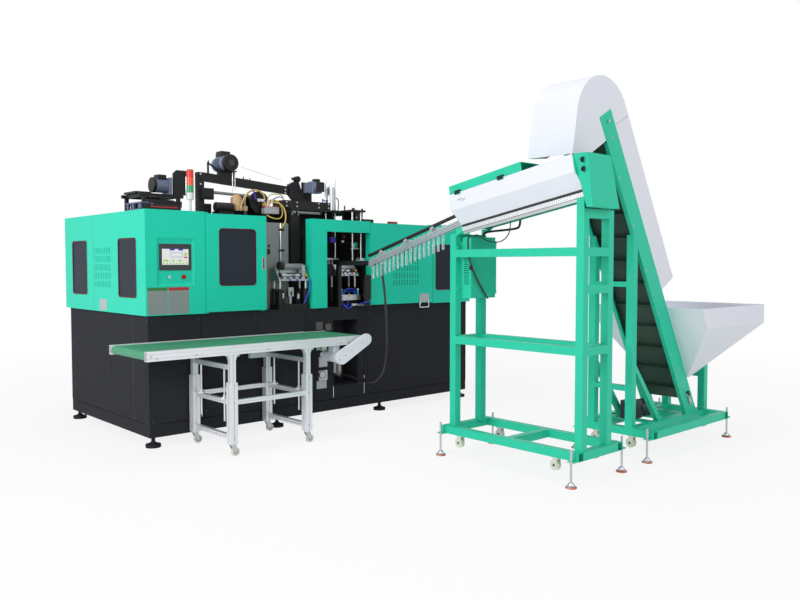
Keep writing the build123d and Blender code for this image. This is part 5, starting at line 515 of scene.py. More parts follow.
# The screen sits in a pressed recess whose sides slope down to its floor. The slopes are one ring of green
# sheet let into the recess all round.
RECESS_TOP_EDGE = (71.0, 403.0, 1325.0, 1718.0)
RECESS_FLOOR_EDGE = (85.0, 377.0, 1349.0, 1690.0)
RECESS_FLOOR = -20.0
slopes = bmesh.new()
rings = []
for (left, right, low, high), y in ((RECESS_TOP_EDGE, GUARD_FACE), (RECESS_FLOOR_EDGE, RECESS_FLOOR),
                                    (RECESS_TOP_EDGE, RECESS_FLOOR)):
    corners = ((left, low), (right, low), (right, high), (left, high))
    rings.append([slopes.verts.new(spot(x, y, z)) for x, z in corners])
for k in range(3):
    for i in range(4):
        j = (i + 1) % 4
        slopes.faces.new((rings[k][i], rings[k][j], rings[(k + 1) % 3][j], rings[(k + 1) % 3][i]))
bmesh.ops.recalc_face_normals(slopes, faces=slopes.faces)
add_piece("recess_slopes", slopes, guard_green)

# The operator screen is a dark moulded bezel round a bright glass panel. Its picture is a few flat fields of
# colour, with a blue strip at the top and two rows of keys at the bottom.
SCREEN_FACE = -26.0
FIELD_FRONT = -27.3
FIELD_BACK = -26.9
SCREEN_X = (114.0, 347.0)
SCREEN_Z = (1502.0, 1632.0)
KEY_COUNT = 8
KEY_SIZE = 13.0
screen_bezel = finish("screen_bezel", (0.030, 0.028, 0.032), 0.35, relief=0.0)
screen_white = finish("screen_white", (0.88, 0.88, 0.90), 0.18, unevenness=0.0, relief=0.0)
screen_blue = finish("screen_blue", (0.020, 0.030, 0.62), 0.25, unevenness=0.0, relief=0.0)
screen_lime = finish("screen_lime", (0.42, 0.72, 0.03), 0.25, unevenness=0.0, relief=0.0)
screen_red = finish("screen_red", (0.75, 0.03, 0.05), 0.25, unevenness=0.0, relief=0.0)
screen_line = finish("screen_line", (0.30, 0.26, 0.45), 0.25, unevenness=0.0, relief=0.0)
dress(screen_bezel, "screen_glass", "touch_screen")
blocks("screen_glass_panel", [((SCREEN_X[0], SCREEN_FACE - 1.0, SCREEN_Z[0]),
                               (SCREEN_X[1], SCREEN_FACE, SCREEN_Z[1]))], screen_white)


def screen_fields(name, fields, material):
    """Flat coloured fields on the glass; each is its left, bottom, width and height from its corner."""
    corners = []
    for left, bottom, width, height in fields:
        low = (SCREEN_X[0] + left, FIELD_FRONT, SCREEN_Z[0] + bottom)
        high = (SCREEN_X[0] + left + width, FIELD_BACK, SCREEN_Z[0] + bottom + height)
        corners.append((low, high))
    return blocks(name, corners, material)


key_pitch = (SCREEN_X[1] - SCREEN_X[0]) / KEY_COUNT
keys = [(key_pitch * (i + 0.5) - KEY_SIZE / 2, 4.0, KEY_SIZE, KEY_SIZE) for i in range(KEY_COUNT)]
screen_fields("screen_keys", keys + [(10, 28, 44, 14), (84, 28, 24, 14), (142, 28, 28, 14),
                                     (196, 76, 24, 22)], screen_lime)
screen_fields("screen_title", [(66, 118, 44, 12), (144, 118, 40, 12)], screen_blue)
screen_fields("screen_alarm", [(194, 56, 28, 12)], screen_red)
screen_fields("screen_diagram", [(76, 98, 104, 3), (76, 62, 104, 3), (76, 62, 3, 39), (177, 62, 3, 39)],
              screen_line)

# Screws, bolts and rivets are round steel heads set on their panels. One tree puts a head on every point of a
# point mesh, turns it to face out of its panel and gives it its finish.
HEAD_SIDES = 12
CROWN_SIDES = 6
CROWN_WIDTH_SHARE = 0.55
CROWN_RISE = 1.6


def paint_instances(tree, instances, given):
    """End of a geometry tree: instances become real, get their finish and leave by its one output."""
    made = add_node(tree, "NodeGroupOutput")
    real = add_node(tree, "GeometryNodeRealizeInstances")
    painted = add_node(tree, "GeometryNodeSetMaterial")
    wire(
        tree,
        (instances, "Instances", real, 0),
        (real, 0, painted, "Geometry"),
        (given, "Finish", painted, "Material"),
        (painted, 0, made, 0),
    )


def make_heads_tree():
    """Geometry tree that puts a round head with a smaller crown on every point."""
    ports = [("Points", "Geometry"), ("Head radius", "Float"), ("Head height", "Float"), ("Turn", "Vector"),
             ("Finish", "Material")]
    tree = add_group("fixing_heads", "GeometryNodeTree", ports, [("Heads", "Geometry")])
    given = add_node(tree, "NodeGroupInput")
    head = add_node(tree, "GeometryNodeMeshCylinder", values={"Vertices": HEAD_SIDES})
    crown = add_node(tree, "GeometryNodeMeshCylinder", values={"Vertices": CROWN_SIDES})
    crown_radius = add_node(tree, "ShaderNodeMath", "MULTIPLY", {1: CROWN_WIDTH_SHARE})
    crown_height = add_node(tree, "ShaderNodeMath", "MULTIPLY", {1: CROWN_RISE})
    both = add_node(tree, "GeometryNodeJoinGeometry")
    set_heads = add_node(tree, "GeometryNodeInstanceOnPoints")
    wire(
        tree,
        (given, "Head radius", head, "Radius"),
        (given, "Head height", head, "Depth"),
        (given, "Head radius", crown_radius, 0),
        (given, "Head height", crown_height, 0),
        (crown_radius, 0, crown, "Radius"),
        (crown_height, 0, crown, "Depth"),
        (head, "Mesh", both, 0),
        (crown, "Mesh", both, 0),
        (given, "Points", set_heads, "Points"),
        (both, 0, set_heads, "Instance"),
        (given, "Turn", set_heads, "Rotation"),
    )
    paint_instances(tree, set_heads, given)
    return tree


heads_tree = make_heads_tree()
FACE_TURNS = {"X": (0.0, pi / 2, 0.0), "Y": (pi / 2, 0.0, 0.0), "Z": (0.0, 0.0, 0.0)}


def grown_mesh(name, tree, start_mesh, inputs):
    """Plain mesh that a geometry tree makes from a start mesh, with its named inputs set."""
    maker = bpy.data.objects.new(name + "_maker", start_mesh)
    bpy.context.scene.collection.objects.link(maker)
    modifier = maker.modifiers.new("grow", "NODES")
    modifier.node_group = tree
    sockets = {item.name: item.identifier for item in tree.interface.items_tree if item.in_out == "INPUT"}
    for label, value in inputs.items():
        modifier[sockets[label]] = value
    bpy.context.view_layer.update()
    grown = maker.evaluated_get(bpy.context.evaluated_depsgraph_get())
    mesh = bpy.data.meshes.new_from_object(grown)
    maker.modifiers.clear()
    bpy.data.objects.remove(maker)
    return mesh


def heads(name, places, axis, radius, height, material, body="machine"):
    """Screw heads at places on the plan, facing along one axis."""
    points = bpy.data.meshes.new(name + "_points")
    points.from_pydata([spot(*place) for place in places], [], [])
    inputs = {"Head radius": radius * MM, "Head height": height * MM, "Turn": FACE_TURNS[axis],
              "Finish": material}
    return add_piece(name, grown_mesh(name, heads_tree, points, inputs), material, body)


BASE_LENGTH = 3772.0
BASE_DEPTH = 1745.0
STATION_TOP = 2050.0
COLUMN_FACE = 228.0
ARM_FACE = 398.0
screw_dark = finish("screw_dark", (0.06, 0.06, 0.065), 0.35, metallic=0.8)
fitting_white = finish("fitting_white", (0.70, 0.71, 0.72), 0.4)
SCREW_ROWS = (214.0, 1044.0)
SIDE_SCREW_Y = (30, 268, 326, 1000, 1715)
BASE_SCREW = (7.0, 3.0)
front_screws = [(x, -1.0, z) for x in (30, 440, 2010, 2160) for z in SCREW_ROWS if not (x > 1900 and z < 900)]
front_screws += [(x, -4.0, z) for x in (510, 995, 1035, 1520, 2330, 2990, 3712) for z in (250, 1020)]
side_screws = [(-1.0, y, z) for y in SIDE_SCREW_Y for z in SCREW_ROWS]
rear_screws = [(x, BASE_DEPTH + 1.0, z) for x in (30, 940, 1856, 1916, 2830, 3740) for z in SCREW_ROWS]
end_screws = [(BASE_LENGTH + 1.0, y, z) for y in SIDE_SCREW_Y for z in SCREW_ROWS]
for side, places, axis in (("front", front_screws, "Y"), ("side", side_screws, "X"),
                           ("rear", rear_screws, "Y"), ("end", end_screws, "X")):
    heads(f"{side}_base_screws", places, axis, *BASE_SCREW, screw_dark)
plate_rivets = [(x, plate_front - 0.5, z) for x in (-11, 151, 169, 340) for z in (1102, 1284)]
heads("plate_rivets", plate_rivets, "Y", 3.0, 1.2, zinc)
station_bolts = [(x, y, STATION_TOP + 1.0) for x in (1572, 1622, 2369, 2419) for y in (256, 404)]
station_bolts += [(x, y, STATION_TOP + 1.0) for x in (2230, 2290) for y in (256, 404)]
heads("station_bolts", station_bolts, "Z", 11.0, 7.0, zinc)
beam_bolts = [(x, COLUMN_FACE, z) for x in (1500, 1620, 1880, 2000) for z in (2066, 2104)]
column_bolts = [(x, COLUMN_FACE, z) for x in (1562, 1632, 2359, 2429) for z in (1110, 1500, 1990)]
heads("column_bolts", beam_bolts + column_bolts, "Y", 8.0, 7.0, zinc)
arm_bolts = [(x, ARM_FACE, z) for x, z in ((690, 2320), (690, 2230), (706, 2110), (1600, 2238), (1600, 2205),
                                        (698, 1400), (698, 1800))]
heads("arm_bolts", arm_bolts, "Y", 9.0, 7.0, zinc)

# Behind the louvre slots of the left side and the right door stands a black sheet: painted shade for the dark
# inside seen through the slots. The base's left side and back each have a wide dark joint where two panels
# meet.
blocks("side_vent_painted_shade", [((-26.6, 664, 1300), (-24.6, 1048, 1658))], station_black)
blocks("door_vent_painted_shade", [((2625, -26.6, 1286), (3009, -24.6, 1644))], station_black, "right_door")
blocks("base_side_joint", [((-1.4, 289, 196), (0, 302, 1080))], station_black)
# The black strip behind the back's joint is painted shade for the dark inside of the base seen through the
# gap.
blocks("base_rear_joint_shade", [((1874, 1737.5, 196), (1898, 1741.8, 1080))], station_black)

# Each opening door has a pull pressed from bright sheet, with a dark red cup behind it. Its rim is four
# strips screwed into the recess near the door's edge.
pull_silver = finish("pull_silver", (0.78, 0.70, 0.70), 0.35, metallic=0.2)
pull_cup = finish("pull_cup", (0.17, 0.055, 0.055), 0.4)
CUP_X = (1061.0, 2341.0)
CUP_WIDTH = 34.0
CUP_Z = (1457.0, 1571.0)
for left, body in zip(CUP_X, ("front_door", "right_door")):
    rims = [((left + 3, GUARD_FACE - 2, CUP_Z[0] + 3), (left + 7, GUARD_FACE + 4, CUP_Z[1] - 3)),
            ((left + CUP_WIDTH - 7, GUARD_FACE - 2, CUP_Z[0] + 3),
             (left + CUP_WIDTH - 3, GUARD_FACE + 4, CUP_Z[1] - 3)),
            ((left + 7, GUARD_FACE - 2, CUP_Z[0] + 3), (left + CUP_WIDTH - 7, GUARD_FACE + 4, CUP_Z[0] + 7)),
            ((left + 7, GUARD_FACE - 2, CUP_Z[1] - 7), (left + CUP_WIDTH - 7, GUARD_FACE + 4, CUP_Z[1] - 3))]
    blocks(body + "_pull", rims, pull_silver, body, soft=0.8)
    blocks(body + "_cup", [((left + 7.5, GUARD_FACE + 12, CUP_Z[0] + 8),
                            (left + CUP_WIDTH - 7.5, GUARD_FACE + 16, CUP_Z[1] - 8))], pull_cup, body)

# The blow station's carriages carry small air cylinders, bright neck jaws and blue fittings between their
# plates. Bodies are square aluminium with round rods, and the jaws are ground steel blocks.
shield_grey = finish("shield_grey", (0.22, 0.225, 0.23), 0.5, metallic=0.4, unevenness=0.10)
fitting_blue = finish("fitting_blue", (0.010, 0.030, 0.55), 0.35)
brass_tone = finish("brass_tone", (0.55, 0.38, 0.14), 0.3, metallic=0.9)


def bars(name, runs, material, body="machine", sides=20, soft=0.8):
    """Round bars as one piece; each run is its two ends on the plan and its radius."""
    shape = bmesh.new()
    for start, end, radius in runs:
        first, last = spot(*start), spot(*end)
        line = last - first
        turn = line.to_track_quat("Z", "Y").to_matrix().to_4x4()
        place = Matrix.Translation((first + last) / 2) @ turn
        made = bmesh.ops.create_cone(shape, cap_ends=True, segments=sides, radius1=radius * MM,
                                     radius2=radius * MM, depth=line.length, matrix=place)
        rim = [edge for edge in {e for v in made["verts"] for e in v.link_edges} if len(edge.link_faces) == 2
               and any(len(face.verts) > 4 for face in edge.link_faces)]
        if soft and radius > 2 * soft:
            soften(shape, rim, soft)
    for face in shape.faces:
        face.smooth = len(face.verts) == 4
    return add_piece(name, shape, material, body)


def carriage_fittings(body, left, front, width, top):
    """Jaws, cylinders and blue fittings on one transfer carriage, clear of its bridge and round tube."""
    middle = left + width / 2
    right = left + width
    jaws = []
    for i in range(4):
        x = left + width * (0.2 + 0.2 * i)
        jaws.append(((x - 18, front + 2, top + 1), (x + 18, front + 48, top + 17)))
    blocks(body + "_jaws", jaws, ground_steel, body, soft=2)
    cylinders = [((left + 30, front + 18, top + 38), (left + 84, front + 18, top + 38), 17),
                 ((right - 150, front + 16, top + 34), (right - 100, front + 16, top + 34), 15)]
    bars(body + "_cylinders", cylinders, machined_silver, body)
    ends = [((left + 14, front + 18, top + 38), (left + 32, front + 18, top + 38), 21),
            ((right - 102, front + 16, top + 34), (right - 88, front + 16, top + 34), 19)]
    bars(body + "_cylinder_ends", ends, station_black, body)
    bars(body + "_bearing", [((right - 40, front + 20, top + 34), (right - 16, front + 20, top + 34), 20)],
         brass_tone, body)
    blues = [((middle - 54, front - 6, top - 14), (middle - 38, front + 4, top - 2)),
             ((middle + 20, front - 6, top - 14), (middle + 36, front + 4, top - 2))]
    blocks(body + "_fittings", blues, fitting_blue, body, soft=1.5)


carriage_fittings("bottle_carriage", 1262.0, 5.0, 340.0, 1369.0)
carriage_fittings("preform_carriage", 1976.0, 60.0, 270.0, 1408.0)

# Two round gauges and two small plates are fixed to the base's front beside the air recess. The gauges have
# dark steel rims round white faces, and the plates are bare pale aluminium.
GAUGE_X = 1734.0
bars("base_gauge_rims", [((GAUGE_X, -8, 640), (GAUGE_X, 0, 640), 27),
                         ((GAUGE_X, -18, 446), (GAUGE_X, -5, 446), 37)], screw_dark, sides=36)
bars("base_gauge_faces", [((GAUGE_X, -8.6, 640), (GAUGE_X, -8, 640), 22),
                          ((GAUGE_X, -18.6, 446), (GAUGE_X, -18, 446), 31)], fitting_white, sides=36,
     soft=0)
blocks("base_small_plates", [((1674, -5, 684), (1792, 0, 722)), ((1674, -5, 310), (1792, 0, 386))],
       plate_pale, soft=1)

# The bottle carriage also carries a round black actuator with its dark steel tube. They lie on two bright
# brackets bolted to the carriage, one at each end.
bars("bottle_carriage_actuator", [((1296, 62, 1492), (1340, 62, 1492), 40)], station_black,
     "bottle_carriage", sides=36, soft=4)
bars("bottle_carriage_tube", [((1340, 62, 1486), (1560, 62, 1486), 28)], shield_grey, "bottle_carriage",
     sides=28)
blocks("bottle_carriage_brackets", [((1304, 48, 1370), (1320, 76, 1458)),
                                    ((1538, 26, 1370), (1570, 92, 1500))], plate_pale, "bottle_carriage",
       soft=3)

# Between the carriages' guide housings stand small valves, a bright gripper and the preform bay's air
# manifold. The manifold is a milled block on two spacers, with a cyan post and a white cap at each end.
blocks("bay_valves", [((1330, 70, 1134), (1362, 150, 1262)), ((1500, 70, 1134), (1534, 150, 1252)),
                      ((2060, 90, 1134), (2092, 190, 1230)), ((2130, 90, 1134), (2162, 190, 1230))],
       station_black, soft=3)
blocks("bay_valve_ports", [((1338, 62, 1190), (1354, 72, 1240)), ((1508, 62, 1180), (1526, 72, 1230)),
                           ((2068, 82, 1180), (2084, 92, 1216)), ((2138, 82, 1180), (2154, 92, 1216))],
       fitting_white, soft=1.5)
blocks("bottle_gripper", [((1397, 50, 1206), (1455, 90, 1290)), ((1414, 60, 1134), (1438, 80, 1206)),
                          ((1404, 42, 1262), (1448, 52, 1284))], machined_silver, soft=2.5)
blocks("gripper_slots", [((1418, 48, 1216), (1434, 51, 1252))], station_black)
blocks("feed_manifold", [((1996, 18, 1150), (2236, 58, 1206)), ((2000, 58, 1160), (2020, 64, 1196)),
                         ((2204, 58, 1160), (2222, 64, 1196))], machined_silver, soft=3)
heads("manifold_screws", [(x, 17, z) for x in (2010, 2085, 2147, 2222) for z in (1164, 1192)], "Y", 5.0, 3.0,
      screw_dark)
POST_X = (2012, 2220)
post_cyan = finish("post_cyan", (0.02, 0.45, 0.62), 0.35)
feed_posts = [((x, 38, 1206), (x, 38, 1250), 9) for x in POST_X]
bars("feed_posts", feed_posts, post_cyan)
bars("feed_post_caps", [((x, 38, 1250), (x, 38, 1264), 11) for x in POST_X], fitting_white)

# A bright lifting rod stands in front of the grey heat shield on three black clips, and small switches and
# lamps hang from the top plate inside the preform bay.
bars("lifting_rod", [((1388, 168, 1500), (1388, 168, 1890), 8)], ground_steel)
blocks("heat_shield_skin", [((1240, 179.5, 1090), (1484, 181, 1895))], shield_grey)
clips = [((1378, 158, 1822), (1424, 181, 1842)), ((1378, 158, 1628), (1426, 181, 1648)),
         ((1376, 158, 1512), (1402, 181, 1530))]
blocks("rod_clips", clips, station_black, soft=2)
blocks("shield_catches", [((1250, 172, 1600), (1276, 181, 1650)), ((1256, 172, 1668), (1276, 181, 1690))],
       station_black, soft=2)
switch_purple = finish("switch_purple", (0.030, 0.020, 0.35), 0.4)
blocks("bay_switch", [((2034, 236, 1727), (2100, 262, 1779))], switch_purple, soft=3)
blocks("bay_switch_arm", [((2058, 244, 1779), (2070, 256, 2030)), ((2190, 244, 1736), (2200, 256, 2030))],
       station_black)
stripe_red = finish("stripe_red", (0.36, 0.012, 0.010), 0.4)
blocks("bay_lamp", [((2204, 240, 1776), (2224, 256, 1800)), ((2200, 244, 1784), (2206, 252, 1792))],
       stripe_red, soft=2)
blocks("bay_lamp_base", [((2184, 240, 1730), (2206, 260, 1750))], fitting_white, soft=2)
blocks("bay_relay", [((2262, 150, 1660), (2327, 210, 1668)), ((2270, 170, 1676), (2290, 200, 1716))],
       fitting_white, soft=1.5)
blocks("bay_relay_base", [((2266, 160, 1668), (2327, 206, 1676)), ((2296, 168, 1676), (2322, 200, 1730))],
       frame_green, soft=1.5)
press_holes = [((2232, 12.8, 1524), (2232, 14, 1524), 11), ((2274, 12.8, 1524), (2274, 14, 1524), 7)]
blocks("press_block_cover", [((2204, 14, 1500), (2300, 36, 1548))], plate_pale, soft=3)
bars("press_block_holes", press_holes, station_black, soft=0)

# A black angle bracket with white screws lies on the bed's edge left of the right door, and the door carries
# a bright U handle below its plate.
blocks("edge_bracket", [((2146, -56, 1088), (2322, 6, 1100)), ((2240, -50, 1100), (2300, -30, 1170)),
                        ((2252, -30, 1100), (2296, 4, 1108))], station_black, soft=2)
blocks("edge_column", [((2236, -54, 1168), (2318, -34, 1400)), ((2246, -34, 1180), (2308, -6, 1380))],
       station_black, soft=4)
blocks("edge_bracket_plate", [((2166, -48, 1100), (2232, -22, 1106))], plate_pale, soft=1)
heads("edge_bracket_screws", [(x, y, 1101) for x in (2156, 2312) for y in (-46, -6)], "Z", 6.0, 3.0,
      fitting_white)
handle_path = [(3014.0, -38.0, 1112.0), (3010.0, -38.0, 1050.0), (3142.0, -38.0, 1050.0),
               (3138.0, -38.0, 1112.0)]
bars("door_u_handle", [(one, two, 6.0) for one, two in zip(handle_path, handle_path[1:])], ground_steel,
     "right_door")
blocks("door_u_handle_pads", [((x - 9, -44, 1096), (x + 9, -30, 1122)) for x in (3014, 3138)], ground_steel,
       "right_door", soft=2)

# Behind the bay the tall back plates carry dark slides, grey air pipes and cable ducts, so that the space
# between the guards is full of machinery.
ducts = [((1130, 520, 1140), (1210, 560, 1980)), ((1420, 500, 1180), (1520, 560, 1960)),
         ((1650, 500, 1480), (1700, 560, 1990))]
ducts += [((1900, 540, 1300), (1970, 560, 1780)), ((2200, 540, 1330), (2300, 560, 1700))]
blocks("cable_ducts", ducts, station_black, soft=2)
pipes = [((1400, 470, 1240), (1400, 470, 1940), 13), ((1560, 470, 1240), (1560, 470, 1900), 9),
         ((1105, 500, 1620), (1330, 500, 1620), 14)]
bars("air_pipes", pipes, zinc)
collars = [((1400, 470, z), (1400, 470, z + 18), 19) for z in (1300, 1520, 1740, 1880)]
collars += [((1560, 470, z), (1560, 470, z + 16), 14) for z in (1340, 1600, 1820)]
bars("pipe_collars", collars, screw_dark)

# Over the bed, in front of the overhead arm, sit a split clamp with a steel pipe, a large black belt wheel
# and a round filter on its foot. Dark boxes stand on the left guard, and two thin rods hang from the motor's
# seat.
blocks("pipe_clamp", [((690, 352, 2092), (800, 400, 2194)), ((704, 340, 2110), (786, 352, 2176))],
       station_black, soft=5)
bars("clamped_pipe", [((800, 376, 2160), (1183, 376, 2148), 14)], shield_grey)
WHEEL_AXIS = (1287.0, 2094.0)
bars("belt_wheel", [((WHEEL_AXIS[0], 366, WHEEL_AXIS[1]), (WHEEL_AXIS[0], 400, WHEEL_AXIS[1]), 105)],
     station_black, sides=64, soft=3)
blocks("belt_wheel_guard", [((1125, 434, 2030), (1355, 480, 2144))], station_black, soft=4)
bars("belt_wheel_hub", [((WHEEL_AXIS[0], 356, WHEEL_AXIS[1]), (WHEEL_AXIS[0], 367, WHEEL_AXIS[1]), 26)],
     screw_dark)
bars("bed_filter", [((796, 330, 2026), (974, 330, 2026), 44), ((974, 330, 2026), (984, 330, 2026), 30)],
     station_black, sides=32, soft=6)
blocks("bed_filter_foot", [((820, 296, GUARD_TOP), (950, 430, 1990)),
                           ((728, 410, 1911), (1104, 450, GUARD_TOP))], station_black, soft=3)
bracket_blue = finish("bracket_blue", (0.085, 0.10, 0.20), 0.45)
guard_boxes = [((1040, 420, GUARD_TOP), (1104, 480, 2128)), ((736, 432, GUARD_TOP), (816, 500, 2060))]
blocks("guard_top_boxes", guard_boxes, station_black, soft=4)
blocks("bed_relays", [((1104, 428, 2036), (1176, 470, 2108)), ((1050, 408, 2050), (1090, 420, 2080))],
       bracket_blue, soft=3)
bars("seat_rods", [((1010, 386, 2180), (1010, 386, 2364), 5), ((1036, 386, 2200), (1036, 386, 2364), 4)],
     profile_silver)
bars("guy_wire", [((1129, 430, 2420), (1582, 430, 2330), 1.2)], screw_dark, soft=0)
arm_posts = [((1146, 420, 2262), (1146, 420, 2330), 5), ((1182, 420, 2262), (1182, 420, 2312), 8),
             ((1216, 420, 2255), (1216, 420, 2322), 5)]
bars("arm_posts", arm_posts, screw_dark)
bars("oven_stay", [((612, 458, 2126), (612, 458, 2330), 9), ((580, 458, 2126), (580, 458, 2290), 6)],
     profile_silver)
bars("bracket_wheel", [((1746, 384, 2350), (1746, 436, 2350), 30)], station_black, sides=36, soft=3)
blocks("bracket_tabs", [((1690, 394, 2340), (1722, 426, 2364)), ((1640, 376, 2150), (1690, 390, 2240))],
       station_black, soft=2)

# The terminal box is a pale aluminium housing on a black angle bracket beside the station's column. Red and
# white moulded ends stand in a row on its top.
blocks("terminal_box", [((1287, 280, 1986), (1449, 340, 2040))], plate_pale, soft=3)
blocks("terminal_bracket", [((1449, 318, 2000), (1546, 340, 2016)), ((1449, 322, 1986), (1462, 338, 2030))],
       station_black)
red_ends = [((1292 + 20 * i, 284, 2040), (1302 + 20 * i, 330, 2057)) for i in range(8)]
white_ends = [((1302 + 20 * i, 284, 2040), (1311 + 20 * i, 330, 2054)) for i in range(8)]
blocks("terminal_ends_red", red_ends, stripe_red, soft=1)
blocks("terminal_ends_white", white_ends, fitting_white, soft=1)

# Past the press cylinder a black shelf carries stub rods, and the right guard's top has a low box and a red
# lamp cover. The press cylinder has two tie rods and two port blocks on its side.
blocks("top_bridge_plate", [((1110, 430, 2012), (2327, 562, 2030))], station_black)
bars("top_grey_pipe", [((1560, 214, 2006), (1900, 214, 2006), 13)], shield_grey)
bars("top_pipe_clips", [((x, 214, 2006), (x + 16, 214, 2006), 19) for x in (1590, 1880)], station_black)
blocks("guard_low_box", [((2270, 4, 1927), (2400, 38, 1960))], station_black, soft=3)
blocks("guard_lamp_cover", [((2610, 4, 1927), (2730, 38, 1950))], stripe_red, soft=8)
shelf_rods = [((2166, 180, STATION_TOP), (2166, 180, 2098), 7),
              ((2230, 120, STATION_TOP), (2230, 120, 2074), 16),
              ((2296, 60, STATION_TOP), (2296, 60, 2068), 10)]
bars("shelf_rods", shelf_rods, station_black)
tie_rods = [((x, 294, STATION_TOP), (x, 294, 2300), 5) for x in (2064, 2136)]
bars("cylinder_tie_rods", tie_rods, zinc)
blocks("cylinder_ports", [((2040, 316, 2130), (2056, 344, 2158)), ((2144, 316, 2170), (2160, 344, 2198))],
       screw_dark, soft=2)

# Motors are cast bodies with cooling ribs, a black fan cover and a wiring box. One tree sets rings along a
# line for the ribs, and also makes the corrugated conduit on the rail.
RIB_SIDES = 24


def make_ribs_tree():
    """Geometry tree that sets round ribs at an even pitch along +Z."""
    floats = [(label, "Float") for label in ("Rib radius", "Rib width", "Pitch")]
    ports = [("Start", "Geometry"), ("Rib count", "Int"), *floats, ("Finish", "Material")]
    tree = add_group("round_ribs", "GeometryNodeTree", ports, [("Ribs", "Geometry")])
    given = add_node(tree, "NodeGroupInput")
    step = add_node(tree, "ShaderNodeCombineXYZ")
    line = add_node(tree, "GeometryNodeMeshLine")
    rib = add_node(tree, "GeometryNodeMeshCylinder", values={"Vertices": RIB_SIDES})
    set_ribs = add_node(tree, "GeometryNodeInstanceOnPoints")
    wire(
        tree,
        (given, "Pitch", step, "Z"),
        (given, "Rib count", line, "Count"),
        (step, "Vector", line, "Offset"),
        (given, "Rib radius", rib, "Radius"),
        (given, "Rib width", rib, "Depth"),
        (line, "Mesh", set_ribs, "Points"),
        (rib, "Mesh", set_ribs, "Instance"),
    )
    paint_instances(tree, set_ribs, given)
    return tree


ribs_tree = make_ribs_tree()


def ribs(name, start, end, radius, width, pitch, material):
    """Round ribs of one width at one pitch from start to end on the plan."""
    first, last = spot(*start), spot(*end)
    line = last - first
    count = int(line.length / (pitch * MM)) + 1
    empty_mesh = bpy.data.meshes.new(name + "_start")
    inputs = {"Rib count": count, "Rib radius": radius * MM, "Rib width": width * MM, "Pitch": pitch * MM,
              "Finish": material}
    mesh = grown_mesh(name, ribs_tree, empty_mesh, inputs)
    mesh.transform(Matrix.Translation(first) @ line.to_track_quat("Z", "Y").to_matrix().to_4x4())
    return add_piece(name, mesh, material)


MOTOR_X = 965
MOTOR_Z = 2438
ribs("gear_motor_ribs", (MOTOR_X, 420, MOTOR_Z), (MOTOR_X, 545, MOTOR_Z), 70.0, 3.0, 12.0, motor_grey)
ribs("oven_fan_ribs", (318, 560, 2208), (440, 560, 2208), 66.0, 3.0, 11.0, motor_grey)
bars("fan_covers", [((MOTOR_X, 326, MOTOR_Z), (MOTOR_X, 372, MOTOR_Z), 77),
                    ((298, 560, 2208), (326, 560, 2208), 68)], station_black, sides=40, soft=5)
bars("fan_hubs", [((MOTOR_X, 322, MOTOR_Z), (MOTOR_X, 327, MOTOR_Z), 30)], screw_dark, sides=32)
blocks("motor_wiring_boxes", [((915, 420, 2500), (1010, 520, 2552)), ((340, 510, 2262), (420, 600, 2300))],
       station_black, soft=6)
blocks("servo_body", [((1822, 250, 2210), (1938, 340, 2326))], motor_grey, soft=8)
blocks("servo_cap", [((1832, 196, 2220), (1928, 206, 2316)), ((1850, 240, 2326), (1910, 300, 2350))],
       station_black, soft=6)

# The oven's top carries black lamp boxes with a red stripe, steel-blue side brackets, a row of bright
# reflector sleeves and white lamp holders. The boxes are folded sheet, screwed to the guard's top.
oven_boxes = [((10, 60, GUARD_TOP), (330, 330, 2000)), ((220, 380, 2006), (500, 468, 2060)),
              ((150, 560, 2126), (300, 800, 2146))]
oven_boxes += [((40, 62, 1911), (330, 98, GUARD_TOP)), ((40, 290, 1911), (330, 326, GUARD_TOP))]
blocks("oven_boxes", oven_boxes, station_black, soft=4)
blocks("oven_stripe", [((60, 57, 1972), (300, 61, 1984))], stripe_red)
blocks("oven_brackets", [((-12, 90, GUARD_TOP), (8, 360, 1962)), ((-12, 90, 1962), (8, 130, 2004)),
                         ((-12, 220, 1962), (8, 250, 2004)), ((-12, 330, 1962), (8, 360, 2004)),
                         ((-16, 80, 2004), (60, 370, 2016))], bracket_blue, soft=2)
lamp_rows = [((40 + 55 * i, 340, 2010), (40 + 55 * i, 440, 2010), 16) for i in range(4)]
bars("lamp_sleeves", lamp_rows, machined_silver)
bars("oven_lamp_holders", [((330, y, 1975), (330, y, 2000), 14) for y in (90, 150, 210, 270)],
     fitting_white)

# The deck's profiles end in grey plastic caps, and bolts hold the corner brackets to the legs. A thin splice
# runs across the belt, and a black tension key hangs beside its left roller.
DECK_FRONT = -700.0
DECK_BACK = -20.0
DECK_TOP = 876.0
DECK_LEFT = -330.0
DECK_RIGHT = 1500.0
DECK_HEIGHT = 72.0
PROFILE = 40.0
LEG_X = (375.0, 1088.0)
cap_grey = finish("cap_grey", (0.30, 0.31, 0.33), 0.5)
splice_green = finish("splice_green", (0.030, 0.20, 0.10), 0.5)
end_caps = []
for low_y in (DECK_FRONT + 3, DECK_BACK - PROFILE + 3):
    for x in ((DECK_LEFT - 0.4, DECK_LEFT + 2), (DECK_RIGHT - 2, DECK_RIGHT + 3)):
        end_caps.append(((x[0], low_y, DECK_TOP - DECK_HEIGHT + 3),
                         (x[1], low_y + PROFILE - 6, DECK_TOP - 3)))
blocks("profile_end_caps", end_caps, cap_grey, "conveyor_deck", soft=1)
blocks("belt_splice", [((660, DECK_FRONT + PROFILE + 7, DECK_TOP - 5),
                        (664, DECK_BACK - PROFILE - 7, DECK_TOP - 4.4))], splice_green, "conveyor_deck")
gusset_bolts = [(x + side * 46, DECK_FRONT + 13, 790) for x in LEG_X for side in (-1, 1)]
heads("gusset_bolts", gusset_bolts, "Y", 7.0, 6.0, zinc, "conveyor_deck")
slot_bolts = [(x, DECK_FRONT - 0.5, 824) for x in (-250, 60, 690, 1440)]
heads("deck_slot_bolts", slot_bolts, "Y", 7.0, 4.0, zinc, "conveyor_deck")
